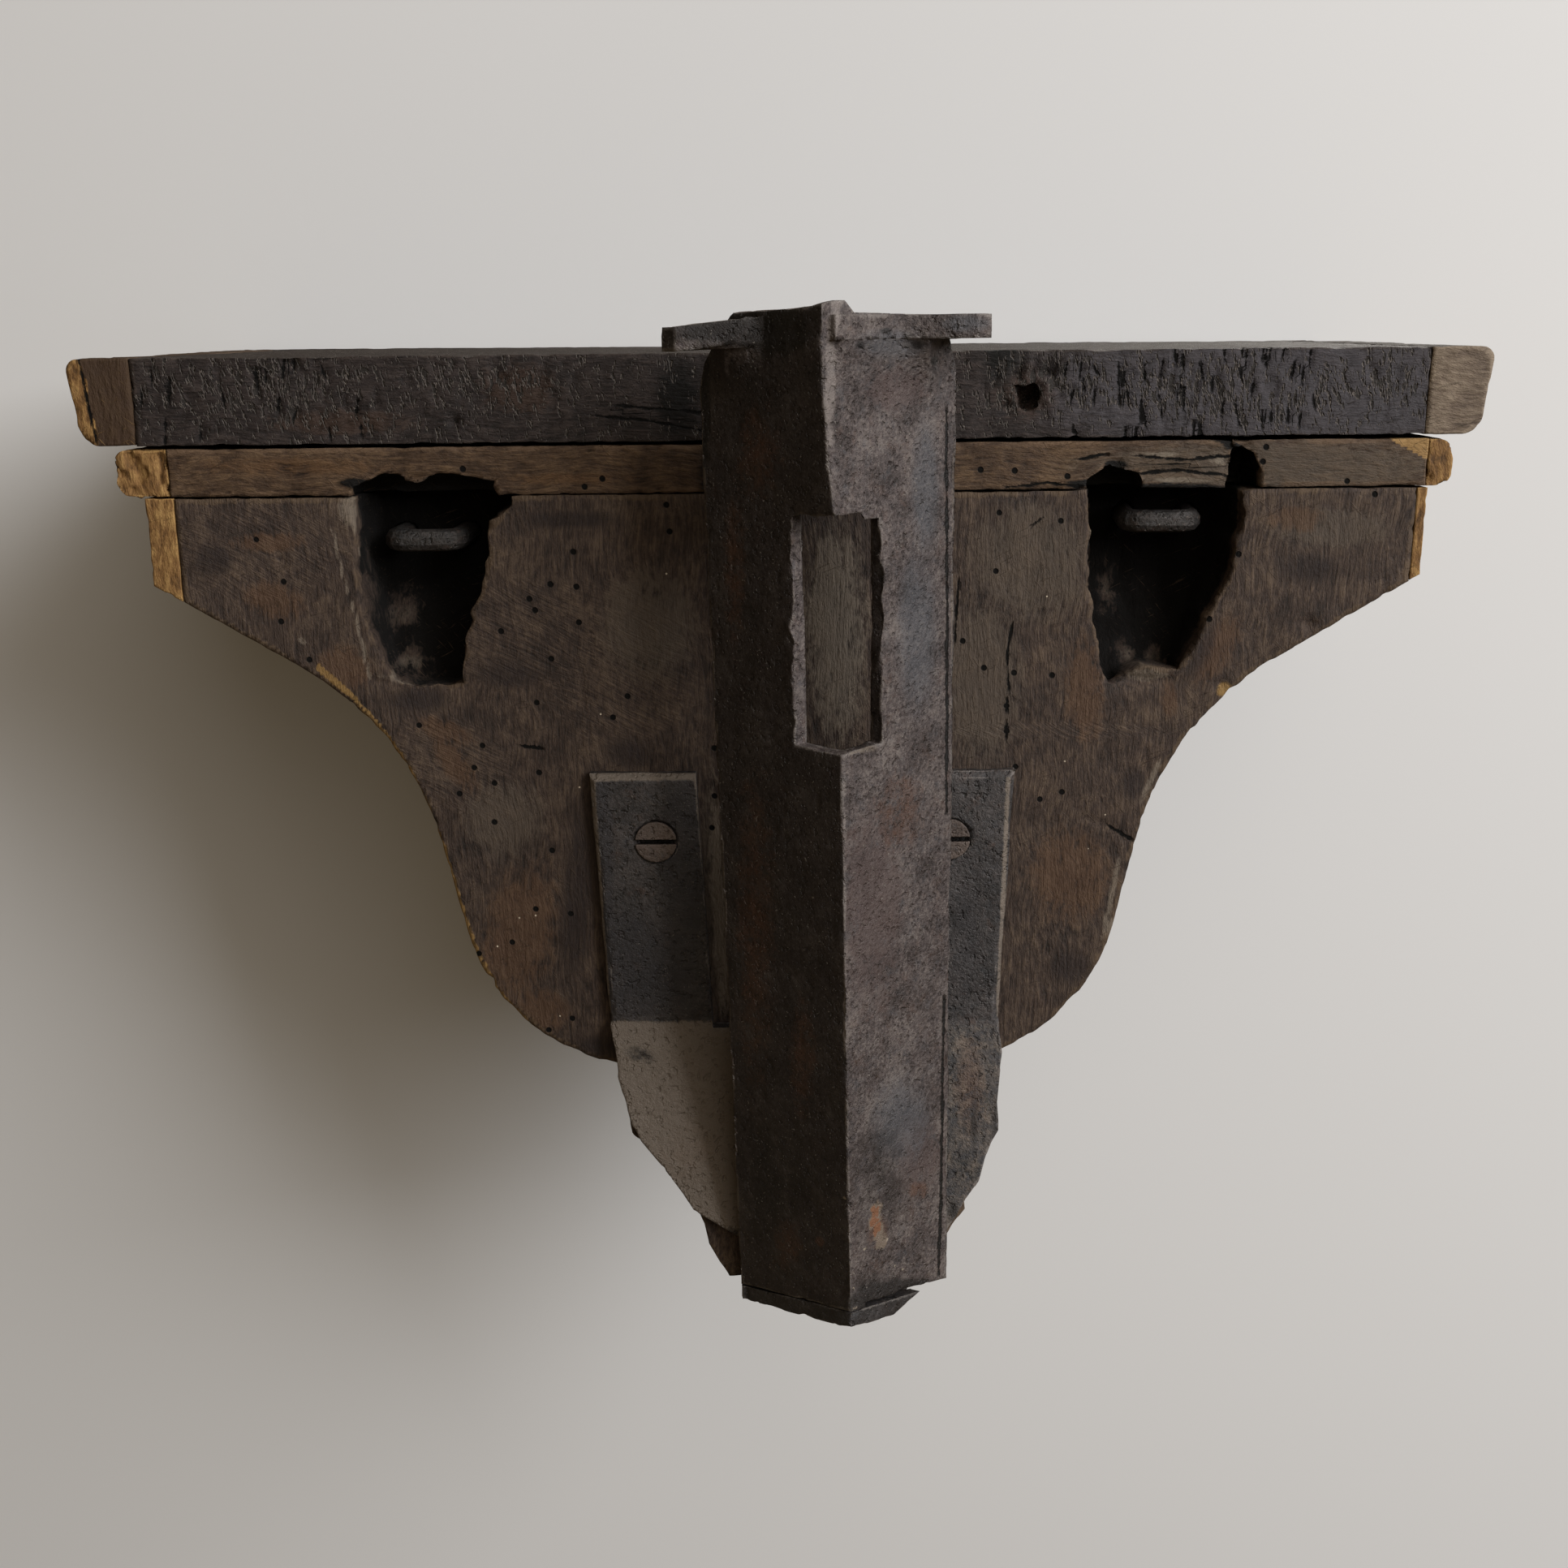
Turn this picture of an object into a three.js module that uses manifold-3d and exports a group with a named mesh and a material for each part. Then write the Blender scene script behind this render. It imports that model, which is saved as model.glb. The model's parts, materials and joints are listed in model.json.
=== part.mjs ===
// An old wooden console bracket: a moulded shelf over a tapering body, hung on two iron staples
// that sit in pockets cut in its back, with a wrought-iron corner channel carried behind it.
//
// Units are millimetres. +Z is up, the wall is towards +Y and the shelf stands out towards -Y.
// Left is -X and right is +X, as seen from the front of the hung bracket. The origin lies in the
// plane of the wooden back, midway between the two staples and at their height.

import * as THREE from 'three';
import { mergeVertices } from 'three/addons/utils/BufferGeometryUtils.js';
import Module from 'manifold-3d';

const wasm = await Module();
wasm.setup();

// Driving dimensions

const JOINT = 0.3; // gap between pieces that touch
const OPEN_JOINT = 0.8; // the joint under the shelf has opened with age
const STAPLE_DROP = 41.5; // from the shelf's top down to the staples

const SHELF_WIDTH = 327;
const SHELF_DEPTH = 130;
const SHELF_THICKNESS = 19.8;
const SHELF_MOULDING_WIDTH = 14.4;
const SHELF_TOP_RADIUS = 3;
const SHELF_BOTTOM_RADIUS = 5;
const SHELF_LEAN = 1.2; // how far the edge leans in towards its foot

const STRIP_SETBACK = 7.8; // how far the strip stands in under the shelf's ends
const STRIP_FRONT_SETBACK = 8;
const STRIP_X = -0.6;
const STRIP_THICKNESS = 11;
const STRIP_RADIUS = 3.4;
const BEAD_WIDTH_RIGHT = 12.6;
const BEAD_WIDTH_LEFT = 6;
const BEAD_WIDTH_FRONT = 9;

const BODY_SETBACK = 5.9; // how far the body stands in under the strip's ends
const BODY_X = -1.2; // the body sits a little to the left under the shelf
const BODY_FRONT_SETBACK = 10;
const BAND_HEIGHT = 20.4; // the upright part under the strip
const BAND_THICKNESS_RIGHT = 6.6;
const BAND_THICKNESS_LEFT = 2.6;
const BAND_THICKNESS_FRONT = 5;
const SLOPE_RUN = 38; // the body's side: a slope, a cove, a steep run, then a bulge
const SLOPE_ANGLE = 31;
const COVE_RADIUS = 68;
const STEEP_ANGLE = 78;
const STEEP_RUN = 24;
const BULGE_RADIUS = 47.5;
const FOOT_ANGLE = 6;
const FRONT_SHARE = 0.8; // how far the front draws back for each millimetre of the sides
const ARC_STEP = 6; // degrees

const POCKET_WIDTH = 37.2;
const POCKET_HEIGHT = 45;
const POCKET_DEPTH = 22;
const POCKET_FOOT_DEPTH = 8;
const POCKET_TAPER = 0.88; // the floor's width against the mouth's
const BITE_DEPTH = 11; // how far the broken edges run in under the strip
const POCKET_RIGHT_X = 81.7;
const POCKET_LEFT_X = -90.2;

const ROD_DIAMETER = 5.4;
const STAPLE_WIDTH = 20.4;
const STAPLE_BEND = 4.2; // radius of the rod's middle line at a corner
const STAPLE_SINK = 7.5; // from the wooden back in to the rod's middle
const STAPLE_GRIP = 9; // how deep each leg is driven below the pocket's floor
const STAPLE_RIGHT_X = 85.5;
const STAPLE_LEFT_X = -90.2;
const STAPLE_RISE = 1.5; // the left staple sits this much above the mean, the right one below
const STAPLE_TWIST = 7; // degrees, the left staple stands askew
const ROD_SIDES = 10;
const ROD_STEPS = 36; // along the whole bent rod

const SHEET = 3.6; // thickness of the yoke's iron
const YOKE_TOP = 98.5; // from the shelf's top down to the legs' upper ends
const YOKE_BEND = 163; // and to the line where the plate turns outwards
const YOKE_ANGLE = 17; // degrees that the lower plate leans off the board
const YOKE_LENGTH = 69.6; // along the lower plate, from the bend to the fold at its foot
const YOKE_X = -4.4;
const YOKE_SPREAD = 51.6; // from the yoke's middle to a leg's outer side, at the top
const YOKE_DRAW_IN = 2.8; // how far the legs close towards the bend
const LEG_WIDTH = 26;
const LEG_BEVEL = 1.6; // width of the bevel on a leg's top and outer side
const BEVEL_DEPTH = 1.4;
const FLOOR_THICKNESS = 4;

const SCREW_HEAD = 10.2;
const SCREW_PROUD = 0.6; // how far a head stands out of its leg
const SCREW_SHANK = 5;
const SCREW_LENGTH = 24;
const SCREW_SLOT = 1.3;
const SCREW_SLOT_DEPTH = 1.4;
const SCREW_DROP = 17; // below the legs' upper ends
const SCREW_INSET = 15.8; // in from a leg's outer side
const SCREW_SIDES = 20;

const CHANNEL_RIGHT = 28.9; // from the ridge across to each long edge, at the top
const CHANNEL_LEFT = 27;
const CHANNEL_FOOT_SHARE = 0.92; // the section's size at the foot against the top
const CHANNEL_RISE = 27; // from its long edges out to the ridge, at the top
const CHANNEL_SHEET = 3.6;
const CHANNEL_STEPS = 16; // up its length
const CHANNEL_TOP = 8; // above the shelf's top
const CHANNEL_X = -11.1; // the ridge at the shelf's top
const CHANNEL_LEAN = 0.9; // degrees that the ridge swings to the left on its way down
const RIDGE_BUMP = 2.8;
const RIDGE_TWIST = 2.6; // the top of the ridge is knocked aside
const RIDGE_TWIST_DROP = 32; // the knocked part starts here, below the shelf's top
const RIDGE_TWIST_LENGTH = 16;
const FOOT_GAP = 1.3; // the left face stops short of the folded floor
const FLOOR_CLIP = 20; // how wide the worn left corner of the floor is
const CORNER_CUT = 4; // the channel's top corners are cut off, this far in and this far down
const CORNER_DROP = 12;
const SLOT_WIDTH = 18.8;
const SLOT_HEIGHT = 50.4;
const SLOT_DROP = 32; // below the shelf's top
const EAR_LENGTH = 68.6;
const EAR_X = -9.7;
const EAR_THICKNESS = 4.9;
const EAR_DEPTH = 15;
const EAR_CORNER = 3;
const EAR_DROOP = 2.2; // the right ear is bent down

const TAIL_DEPTH = 24;
const TAIL_FOOT_DEPTH = 9;

const HOLE_X = -57; // a broken knot in the shelf's back edge
const HOLE_DROP = 10.7;
const HOLE_SIZE = 6.4;
const HOLE_DEPTH = 5;
const HOLE_TAPER = 0.6; // the hole's floor against its mouth

const PROUD = 1; // how far outside a face a cut into it begins
const BEYOND = 40; // how far a cutter runs past what it cuts
const FAR = 400; // further than the whole bracket reaches

// Widths and levels; levels count down from the shelf's top

const stripWidth = SHELF_WIDTH - STRIP_SETBACK * 2;
const stripDepth = SHELF_DEPTH - STRIP_FRONT_SETBACK;
const bodyWidth = stripWidth - BODY_SETBACK * 2;
const bodyDepth = stripDepth - BODY_FRONT_SETBACK;

const stripTop = -SHELF_THICKNESS - OPEN_JOINT;
const stripFoot = stripTop - STRIP_THICKNESS;
const bodyTop = stripFoot - JOINT;
const slotTop = -SLOT_DROP;
const slotFoot = slotTop - SLOT_HEIGHT;

// Solids from three.js geometry

function toSolid(geometry) {
  const bare = geometry.clone();
  bare.deleteAttribute('normal');
  bare.deleteAttribute('uv');
  const merged = mergeVertices(bare, 1e-4);
  const vertProperties = new Float32Array(merged.attributes.position.array);
  const triVerts = new Uint32Array(merged.index.array);
  return new wasm.Manifold(new wasm.Mesh({ numProp: 3, vertProperties, triVerts }));
}

function toMesh(name, solid, colour, roughness, metalness) {
  const { vertProperties, triVerts } = solid.getMesh();
  const geometry = new THREE.BufferGeometry();
  geometry.setAttribute('position', new THREE.BufferAttribute(vertProperties, 3));
  geometry.setIndex(new THREE.BufferAttribute(triVerts, 1));
  geometry.computeVertexNormals();
  const material = new THREE.MeshStandardMaterial({ color: colour, roughness, metalness });
  const mesh = new THREE.Mesh(geometry, material);
  mesh.name = name;
  return mesh;
}

function extrude(points, length, steps = 1) {
  const shape = new THREE.Shape(points.map(([a, b]) => new THREE.Vector2(a, b)));
  return new THREE.ExtrudeGeometry(shape, { depth: length, bevelEnabled: false, steps });
}

const X = new THREE.Vector3(1, 0, 0);
const Y = new THREE.Vector3(0, 1, 0);
const Z = new THREE.Vector3(0, 0, 1);

// A prism from an outline of [y, z] points, running along X
function alongX(points, from, to) {
  const geometry = extrude(points, to - from);
  geometry.applyMatrix4(new THREE.Matrix4().makeBasis(Y, Z, X).setPosition(from, 0, 0));
  return toSolid(geometry);
}

// A prism from an outline of [x, z] points, from y = back forwards to y = front
function alongY(points, back, front, taper = 1, middle = 0) {
  const geometry = extrude(points, back - front);
  const forwards = Y.clone().negate();
  const position = geometry.attributes.position;
  for (let i = 0; i < position.count; i += 1) {
    const deep = position.getZ(i) > 0;
    const x = position.getX(i);
    position.setX(i, deep ? middle + (x - middle) * taper : x);
  }
  geometry.applyMatrix4(new THREE.Matrix4().makeBasis(X, Z, forwards).setPosition(0, back, 0));
  return toSolid(geometry);
}

// A prism from an outline of [x, y] points, from z = low up to z = high
function alongZ(points, low, high) {
  return toSolid(extrude(points, high - low).translate(0, 0, low));
}

const radians = THREE.MathUtils.degToRad;

// Profiles are lists of [inset, z]: how far the edge stands in from the outermost line

function arcSteps(degrees) {
  return Math.max(2, Math.round(Math.abs(degrees) / ARC_STEP));
}

function nosing(top, thickness, topRadius, bottomRadius, lean) {
  const points = [];
  const steps = arcSteps(90);
  for (let i = 0; i <= steps; i += 1) {
    const a = radians((90 * i) / steps);
    points.push([topRadius * (1 - Math.sin(a)), top - topRadius * (1 - Math.cos(a))]);
  }
  for (let i = 0; i <= steps; i += 1) {
    const a = radians((90 * i) / steps);
    const inset = lean + bottomRadius * (1 - Math.cos(a));
    points.push([inset, top - thickness + bottomRadius * (1 - Math.sin(a))]);
  }
  return points;
}

// The body's edge, walked from the strip down to the flat foot
function bodyProfile() {
  const points = [[0, bodyTop], [0, bodyTop - BAND_HEIGHT]];
  let [inset, z] = points[1];
  const straight = (length, angle) => {
    inset += length * Math.cos(radians(angle));
    z -= length * Math.sin(radians(angle));
    points.push([inset, z]);
  };
  const arc = (radius, from, to) => {
    const steps = arcSteps(to - from);
    const turn = Math.sign(to - from);
    const [startInset, startZ] = [inset, z];
    for (let i = 1; i <= steps; i += 1) {
      const a = radians(from + ((to - from) * i) / steps);
      const b = radians(from);
      inset = startInset + turn * radius * (Math.sin(a) - Math.sin(b));
      z = startZ - turn * radius * (Math.cos(b) - Math.cos(a));
      points.push([inset, z]);
    }
  };
  straight(SLOPE_RUN, SLOPE_ANGLE);
  arc(COVE_RADIUS, SLOPE_ANGLE, STEEP_ANGLE);
  straight(STEEP_RUN, STEEP_ANGLE);
  arc(BULGE_RADIUS, STEEP_ANGLE, FOOT_ANGLE);
  return points;
}

// A block with the same profile on its left, right and front, and a flat back at y = 0
function frontedBlock(profile, halfWidth, depth, share = 1) {
  const right = profile.map(([inset, z]) => [halfWidth - inset, z]);
  const left = profile.map(([inset, z]) => [inset - halfWidth, z]).reverse();
  const front = profile.map(([inset, z]) => [inset * share - depth, z]);
  const [top, foot] = [profile[0][1], profile.at(-1)[1]];
  const across = alongY([...right, ...left], 0, -depth);
  const inwards = alongX([...front, [0, foot], [0, top]], -halfWidth, halfWidth);
  return across.intersect(inwards);
}

// Cuts a fronted block into its core and three applied pieces, mitred at the front corners
function mitred(block, halfWidth, depth, right, left, front) {
  const [low, high] = [-FAR, BEYOND];
  const inner = { right: halfWidth - right, left: left - halfWidth, y: front - depth };
  const core = [[inner.right, BEYOND], [inner.left, BEYOND], [inner.left, inner.y],
    [inner.right, inner.y]];
  const side = (innerX, outwards, width) => {
    const x = innerX + outwards * JOINT;
    const farX = innerX + outwards * (width * 2);
    const slope = front / width;
    return [[x, BEYOND], [farX, BEYOND], [farX, inner.y - width * 2 * slope + JOINT],
      [x, inner.y - JOINT * slope + JOINT]];
  };
  const nose = [[inner.right, inner.y - JOINT], [inner.left, inner.y - JOINT],
    [inner.left - left * 2, inner.y - front * 2 - JOINT],
    [inner.right + right * 2, inner.y - front * 2 - JOINT]];
  return {
    core: block.intersect(alongZ(core, low, high)),
    right: block.intersect(alongZ(side(inner.right, 1, right), low, high)),
    left: block.intersect(alongZ(side(inner.left, -1, left), low, high)),
    front: block.intersect(alongZ(nose, low, high)),
  };
}

function shifted(x, pieces) {
  const moved = Object.entries(pieces).map(([key, solid]) => [key, solid.translate([x, 0, 0])]);
  return Object.fromEntries(moved);
}

// The shelf, the strip under it and the body, each with its applied edges

function shelfPieces() {
  const profile = nosing(0, SHELF_THICKNESS, SHELF_TOP_RADIUS, SHELF_BOTTOM_RADIUS, SHELF_LEAN);
  const block = frontedBlock(profile, SHELF_WIDTH / 2, SHELF_DEPTH);
  const width = SHELF_MOULDING_WIDTH;
  const pieces = mitred(block, SHELF_WIDTH / 2, SHELF_DEPTH, width, width, width);
  pieces.core = pieces.core.subtract(brokenKnot());
  return pieces;
}

function brokenKnot() {
  const shares = [[-0.5, 0.1], [-0.2, 0.4], [0.15, 0.3], [0.5, 0.45], [0.4, -0.15], [0, -0.4],
    [-0.35, -0.3]];
  const points = shares.map(([a, b]) => [HOLE_X + a * HOLE_SIZE, b * HOLE_SIZE - HOLE_DROP]);
  return alongY(points.reverse(), PROUD, -HOLE_DEPTH, HOLE_TAPER, HOLE_X);
}

function stripPieces() {
  const profile = nosing(stripTop, STRIP_THICKNESS, STRIP_RADIUS, STRIP_RADIUS, 0);
  const block = frontedBlock(profile, stripWidth / 2, stripDepth);
  const pieces = shifted(STRIP_X, mitred(block, stripWidth / 2, stripDepth,
    BEAD_WIDTH_RIGHT, BEAD_WIDTH_LEFT, BEAD_WIDTH_FRONT));
  for (const bite of stripBites()) {
    pieces.core = pieces.core.subtract(bite);
  }
  return pieces;
}

function bodyPieces() {
  const block = frontedBlock(bodyProfile(), bodyWidth / 2, bodyDepth, FRONT_SHARE);
  const pieces = shifted(BODY_X, mitred(block, bodyWidth / 2, bodyDepth,
    BAND_THICKNESS_RIGHT, BAND_THICKNESS_LEFT, BAND_THICKNESS_FRONT));
  for (const cutter of [...pockets(), ...staples(JOINT), ...screws(JOINT)]) {
    pieces.core = pieces.core.subtract(cutter);
  }
  return pieces;
}

// Pockets: rough mouths, as shares of their width and height, over floors that ramp up to the foot

const RIGHT_MOUTH = [[-0.5, 0.2], [-0.5, -0.05], [-0.36, -0.13], [-0.33, -0.38], [-0.25, -0.55],
  [-0.15, -0.77], [-0.11, -0.98], [0.1, -1], [0.32, -0.96], [0.44, -0.76], [0.51, -0.46],
  [0.5, 0.2]];
const LEFT_MOUTH = [[-0.5, 0.2], [-0.48, -0.21], [-0.43, -0.43], [-0.28, -0.7], [-0.13, -0.95],
  [0.1, -0.93], [0.32, -1.02], [0.36, -0.97], [0.43, -0.73], [0.48, -0.5], [0.5, 0.2]];
const RIGHT_BITE = [[-0.5, -0.1], [-0.4, 0.07], [-0.1, 0.11], [0.1, 0.07], [0.28, 0.12],
  [0.5, 0.05], [0.52, -0.1]];
const LEFT_BITES = [
  [[-0.58, -0.1], [-0.58, 0.06], [-0.52, 0.17], [-0.4, 0.23], [-0.29, 0.22], [-0.27, 0.08],
    [-0.2, -0.1]],
  [[0.16, -0.1], [0.2, 0.08], [0.38, 0.12], [0.5, 0.05], [0.5, -0.1]],
];

function placed(shares, x) {
  return shares.map(([a, b]) => [x + a * POCKET_WIDTH, bodyTop + b * POCKET_HEIGHT]);
}

function pocket(shares, x) {
  const mouth = alongY(placed(shares, x).reverse(), PROUD, -POCKET_DEPTH, POCKET_TAPER, x);
  const high = bodyTop + POCKET_HEIGHT;
  const low = bodyTop - POCKET_HEIGHT * 1.1;
  const rampStart = bodyTop - POCKET_HEIGHT * 0.5;
  const ramp = [[BEYOND, high], [-POCKET_DEPTH, high], [-POCKET_DEPTH, rampStart],
    [-POCKET_FOOT_DEPTH, low], [BEYOND, low]];
  return mouth.intersect(alongX(ramp, x - POCKET_WIDTH, x + POCKET_WIDTH));
}

function pockets() {
  return [pocket(RIGHT_MOUTH, POCKET_RIGHT_X), pocket(LEFT_MOUTH, POCKET_LEFT_X)];
}

function stripBites() {
  const right = placed(RIGHT_BITE, POCKET_RIGHT_X).reverse();
  const left = LEFT_BITES.map((bite) => placed(bite, POCKET_LEFT_X).reverse());
  return [right, ...left].map((points) => alongY(points, BEYOND, -BITE_DEPTH));
}

// Staples: a round rod bent square, its two legs driven into the pocket's floor

function staple(x, z, twist, clearance) {
  const half = (STAPLE_WIDTH - ROD_DIAMETER) / 2;
  const deep = POCKET_DEPTH + STAPLE_GRIP - STAPLE_SINK + clearance;
  const bend = STAPLE_BEND;
  const at = (px, py) => new THREE.Vector3(px, py, 0);
  const path = new THREE.CurvePath();
  path.add(new THREE.LineCurve3(at(-half, -deep), at(-half, -bend)));
  path.add(new THREE.QuadraticBezierCurve3(at(-half, -bend), at(-half, 0), at(bend - half, 0)));
  path.add(new THREE.LineCurve3(at(bend - half, 0), at(half - bend, 0)));
  path.add(new THREE.QuadraticBezierCurve3(at(half - bend, 0), at(half, 0), at(half, -bend)));
  path.add(new THREE.LineCurve3(at(half, -bend), at(half, -deep)));
  const rod = new THREE.ExtrudeGeometry(circle(ROD_DIAMETER / 2 + clearance, ROD_SIDES),
    { extrudePath: path, steps: ROD_STEPS });
  rod.rotateZ(radians(twist));
  rod.translate(x, -STAPLE_SINK, z);
  return toSolid(rod);
}

function circle(radius, sides) {
  const points = [];
  for (let i = 0; i < sides; i += 1) {
    const a = (2 * Math.PI * i) / sides;
    points.push(new THREE.Vector2(radius * Math.cos(a), radius * Math.sin(a)));
  }
  return new THREE.Shape(points);
}

function staples(clearance = 0) {
  return [
    staple(STAPLE_RIGHT_X, -STAPLE_DROP - STAPLE_RISE, 0, clearance),
    staple(STAPLE_LEFT_X, -STAPLE_DROP + STAPLE_RISE, -STAPLE_TWIST, clearance),
  ];
}

// The yoke: two legs flat on the board, joined below by a plate that leans out to a folded floor

const lean = radians(YOKE_ANGLE);
const outwards = [Math.sin(lean), -Math.cos(lean)]; // [y, z] down the leaning plate
const upwards = [Math.cos(lean), Math.sin(lean)]; // [y, z] out along the folded floor
const plateFace = JOINT + SHEET; // the legs' outer face
const fold = [plateFace + YOKE_LENGTH * outwards[0], -YOKE_BEND + YOKE_LENGTH * outwards[1]];
const floorFace = [fold[0] - outwards[0] * FLOOR_THICKNESS,
  fold[1] - outwards[1] * FLOOR_THICKNESS];

// The level at which the yoke's inner face turns outwards
const innerBend = -YOKE_BEND - SHEET * Math.tan(lean / 2);

// Where the channel's long edges stand: just clear of the plate, where they meet the floor
const channelEdge = floorFace[0] + JOINT;

function yokeSideProfile() {
  const innerFold = [fold[0] - upwards[0] * SHEET, fold[1] - upwards[1] * SHEET];
  const reach = CHANNEL_RISE + FLOOR_THICKNESS * 2;
  const tip = [fold[0] + upwards[0] * reach, fold[1] + upwards[1] * reach];
  const tipTop = [tip[0] - outwards[0] * FLOOR_THICKNESS,
    tip[1] - outwards[1] * FLOOR_THICKNESS];
  return [[JOINT, -YOKE_TOP], [JOINT, innerBend], innerFold, tip, tipTop, floorFace,
    [plateFace, -YOKE_BEND], [plateFace, -YOKE_TOP - LEG_BEVEL],
    [plateFace - BEVEL_DEPTH, -YOKE_TOP]];
}

// The sheet's ragged edge below the bend, as [share of the leaning plate's drop, half width]
const PLATE_DROP = YOKE_LENGTH * Math.cos(lean);
const RIGHT_RAG = [[0, 48.8], [0.13, 47.2], [0.2, 46.8], [0.37, 43.4], [0.43, 41], [0.52, 35.8],
  [0.62, 30.8], [0.68, 28.2], [0.735, 21.6], [0.775, 17]];
const LEFT_RAG = [[0, 49], [0.12, 49.8], [0.3, 48.4], [0.4, 48.8], [0.49, 45.4], [0.58, 43.6],
  [0.68, 39], [0.75, 35.6], [0.83, 33.4]];

function yokeOutline() {
  const top = -YOKE_TOP;
  const bend = -YOKE_BEND;
  const foot = fold[1] - FLOOR_THICKNESS;
  const spreadLow = YOKE_SPREAD - YOKE_DRAW_IN;
  const crotch = bend - LEG_BEVEL;
  const right = RIGHT_RAG.map(([drop, half]) => [YOKE_X + half, bend - drop * PLATE_DROP]);
  const left = LEFT_RAG.map(([drop, half]) => [YOKE_X - half, bend - drop * PLATE_DROP]);
  const footX = channelX(foot);
  const [footLeft, footRight] = [footX - CHANNEL_LEFT * CHANNEL_FOOT_SHARE,
    footX + CHANNEL_RIGHT * CHANNEL_FOOT_SHARE];
  return [
    [YOKE_X + YOKE_SPREAD, top],
    [YOKE_X + YOKE_SPREAD - LEG_WIDTH, top],
    [YOKE_X + spreadLow - LEG_WIDTH, crotch],
    [YOKE_X - spreadLow + LEG_WIDTH, crotch],
    [YOKE_X - YOKE_SPREAD + LEG_WIDTH, top],
    [YOKE_X - YOKE_SPREAD, top],
    ...left,
    [footLeft, right.at(-1)[1]],
    [footLeft, foot],
    [footRight, foot],
    [footRight, right.at(-1)[1]],
    ...right.reverse(),
  ];
}

function channelX(z) {
  return CHANNEL_X + Math.tan(radians(CHANNEL_LEAN)) * z;
}

// The channel's outer section at height z, filled: [x, y] points
function channelTriangle(z) {
  const share = channelShare(z);
  const x = channelX(z);
  return [[x - CHANNEL_LEFT * share, channelEdge], [x + CHANNEL_RIGHT * share, channelEdge],
    [x, channelEdge + CHANNEL_RISE * share]];
}

// The section shrinks evenly from the top down, so that both faces stay flat
function channelShare(z) {
  return 1 + (1 - CHANNEL_FOOT_SHARE) * (z / Math.abs(floorFace[1]));
}

function yoke() {
  const reach = YOKE_SPREAD * 2;
  const side = alongX(yokeSideProfile(), YOKE_X - reach, YOKE_X + reach);
  const plate = side.intersect(alongY(yokeOutline(), fold[0] + JOINT, 0));
  const [low, high] = [fold[1] - BEYOND, fold[1] + BEYOND];
  const foot = channelTriangle(floorFace[1]);
  const [a, b, c] = foot;
  const plan = [[a[0], a[1] - SHEET * 2], [b[0], b[1] - SHEET * 2], b, c, a];
  const floor = side.intersect(alongZ(plan, low, high)).intersect(belowFloorTop());
  let joined = plate.add(floor);
  for (const cutter of [...screws(JOINT), ...legBevels(), floorClip()]) {
    joined = joined.subtract(cutter);
  }
  return joined;
}

// The floor's left corner is worn away
function floorClip() {
  const x = channelX(floorFace[1]) - FLOOR_THICKNESS;
  const low = fold[1];
  const high = low + FLOOR_THICKNESS * 2;
  const points = [[x, low + FLOOR_THICKNESS / 2], [x - FLOOR_CLIP, high], [-FAR, high],
    [-FAR, low - BEYOND], [x, low - BEYOND]];
  return alongY(points, FAR, -FAR);
}

// A long line in the [y, z] plane, a given gap above the floor's upper face
function floorLine(gap) {
  const [y, z] = [floorFace[0] - outwards[0] * gap, floorFace[1] - outwards[1] * gap];
  return [[y - upwards[0] * FAR, z - upwards[1] * FAR], [y + upwards[0] * FAR, z + upwards[1] * FAR]];
}

// Everything under the plane of the floor's upper face
function belowFloorTop() {
  const [start, end] = floorLine(0);
  return alongX([start, [start[0], -FAR * 2], [end[0], -FAR * 2], end], -FAR, FAR);
}

// The outer long side of each leg is bevelled
function legBevels() {
  return [1, -1].map((way) => {
    const top = YOKE_X + way * YOKE_SPREAD;
    const plan = [[top - way * LEG_BEVEL, plateFace + JOINT], [top + way * JOINT, plateFace + JOINT],
      [top + way * JOINT, plateFace - BEVEL_DEPTH]];
    if (way < 0) {
      plan.reverse();
    }
    const bar = alongZ(plan, -YOKE_BEND, BEYOND - YOKE_TOP);
    const tilt = THREE.MathUtils.radToDeg(Math.atan2(YOKE_DRAW_IN, YOKE_BEND - YOKE_TOP));
    const tilted = bar.translate([-top, 0, YOKE_TOP]).rotate([0, way * tilt, 0]);
    return tilted.translate([top, 0, -YOKE_TOP]);
  });
}

// Countersunk screws through the legs

function screwProfile(clearance) {
  const head = SCREW_HEAD / 2 + clearance;
  const shank = SCREW_SHANK / 2 + clearance;
  const face = clearance > 0 ? SHEET : SCREW_PROUD;
  const neck = -(SCREW_HEAD - SCREW_SHANK) / 2 - JOINT;
  return [[0, face], [head, face], [head, -JOINT], [shank, neck],
    [shank, -SCREW_LENGTH - clearance], [0, -SCREW_LENGTH - clearance]];
}

function screw(x, clearance) {
  const points = screwProfile(clearance).map(([r, z]) => new THREE.Vector2(r, z));
  const lathe = new THREE.LatheGeometry(points.reverse(), SCREW_SIDES);
  lathe.translate(x, plateFace, -YOKE_TOP - SCREW_DROP);
  return toSolid(lathe);
}

function screwXs() {
  const reach = YOKE_SPREAD - SCREW_INSET;
  return [YOKE_X + reach, YOKE_X - reach];
}

function screws(clearance = 0) {
  return screwXs().map((x) => screw(x, clearance));
}

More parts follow.
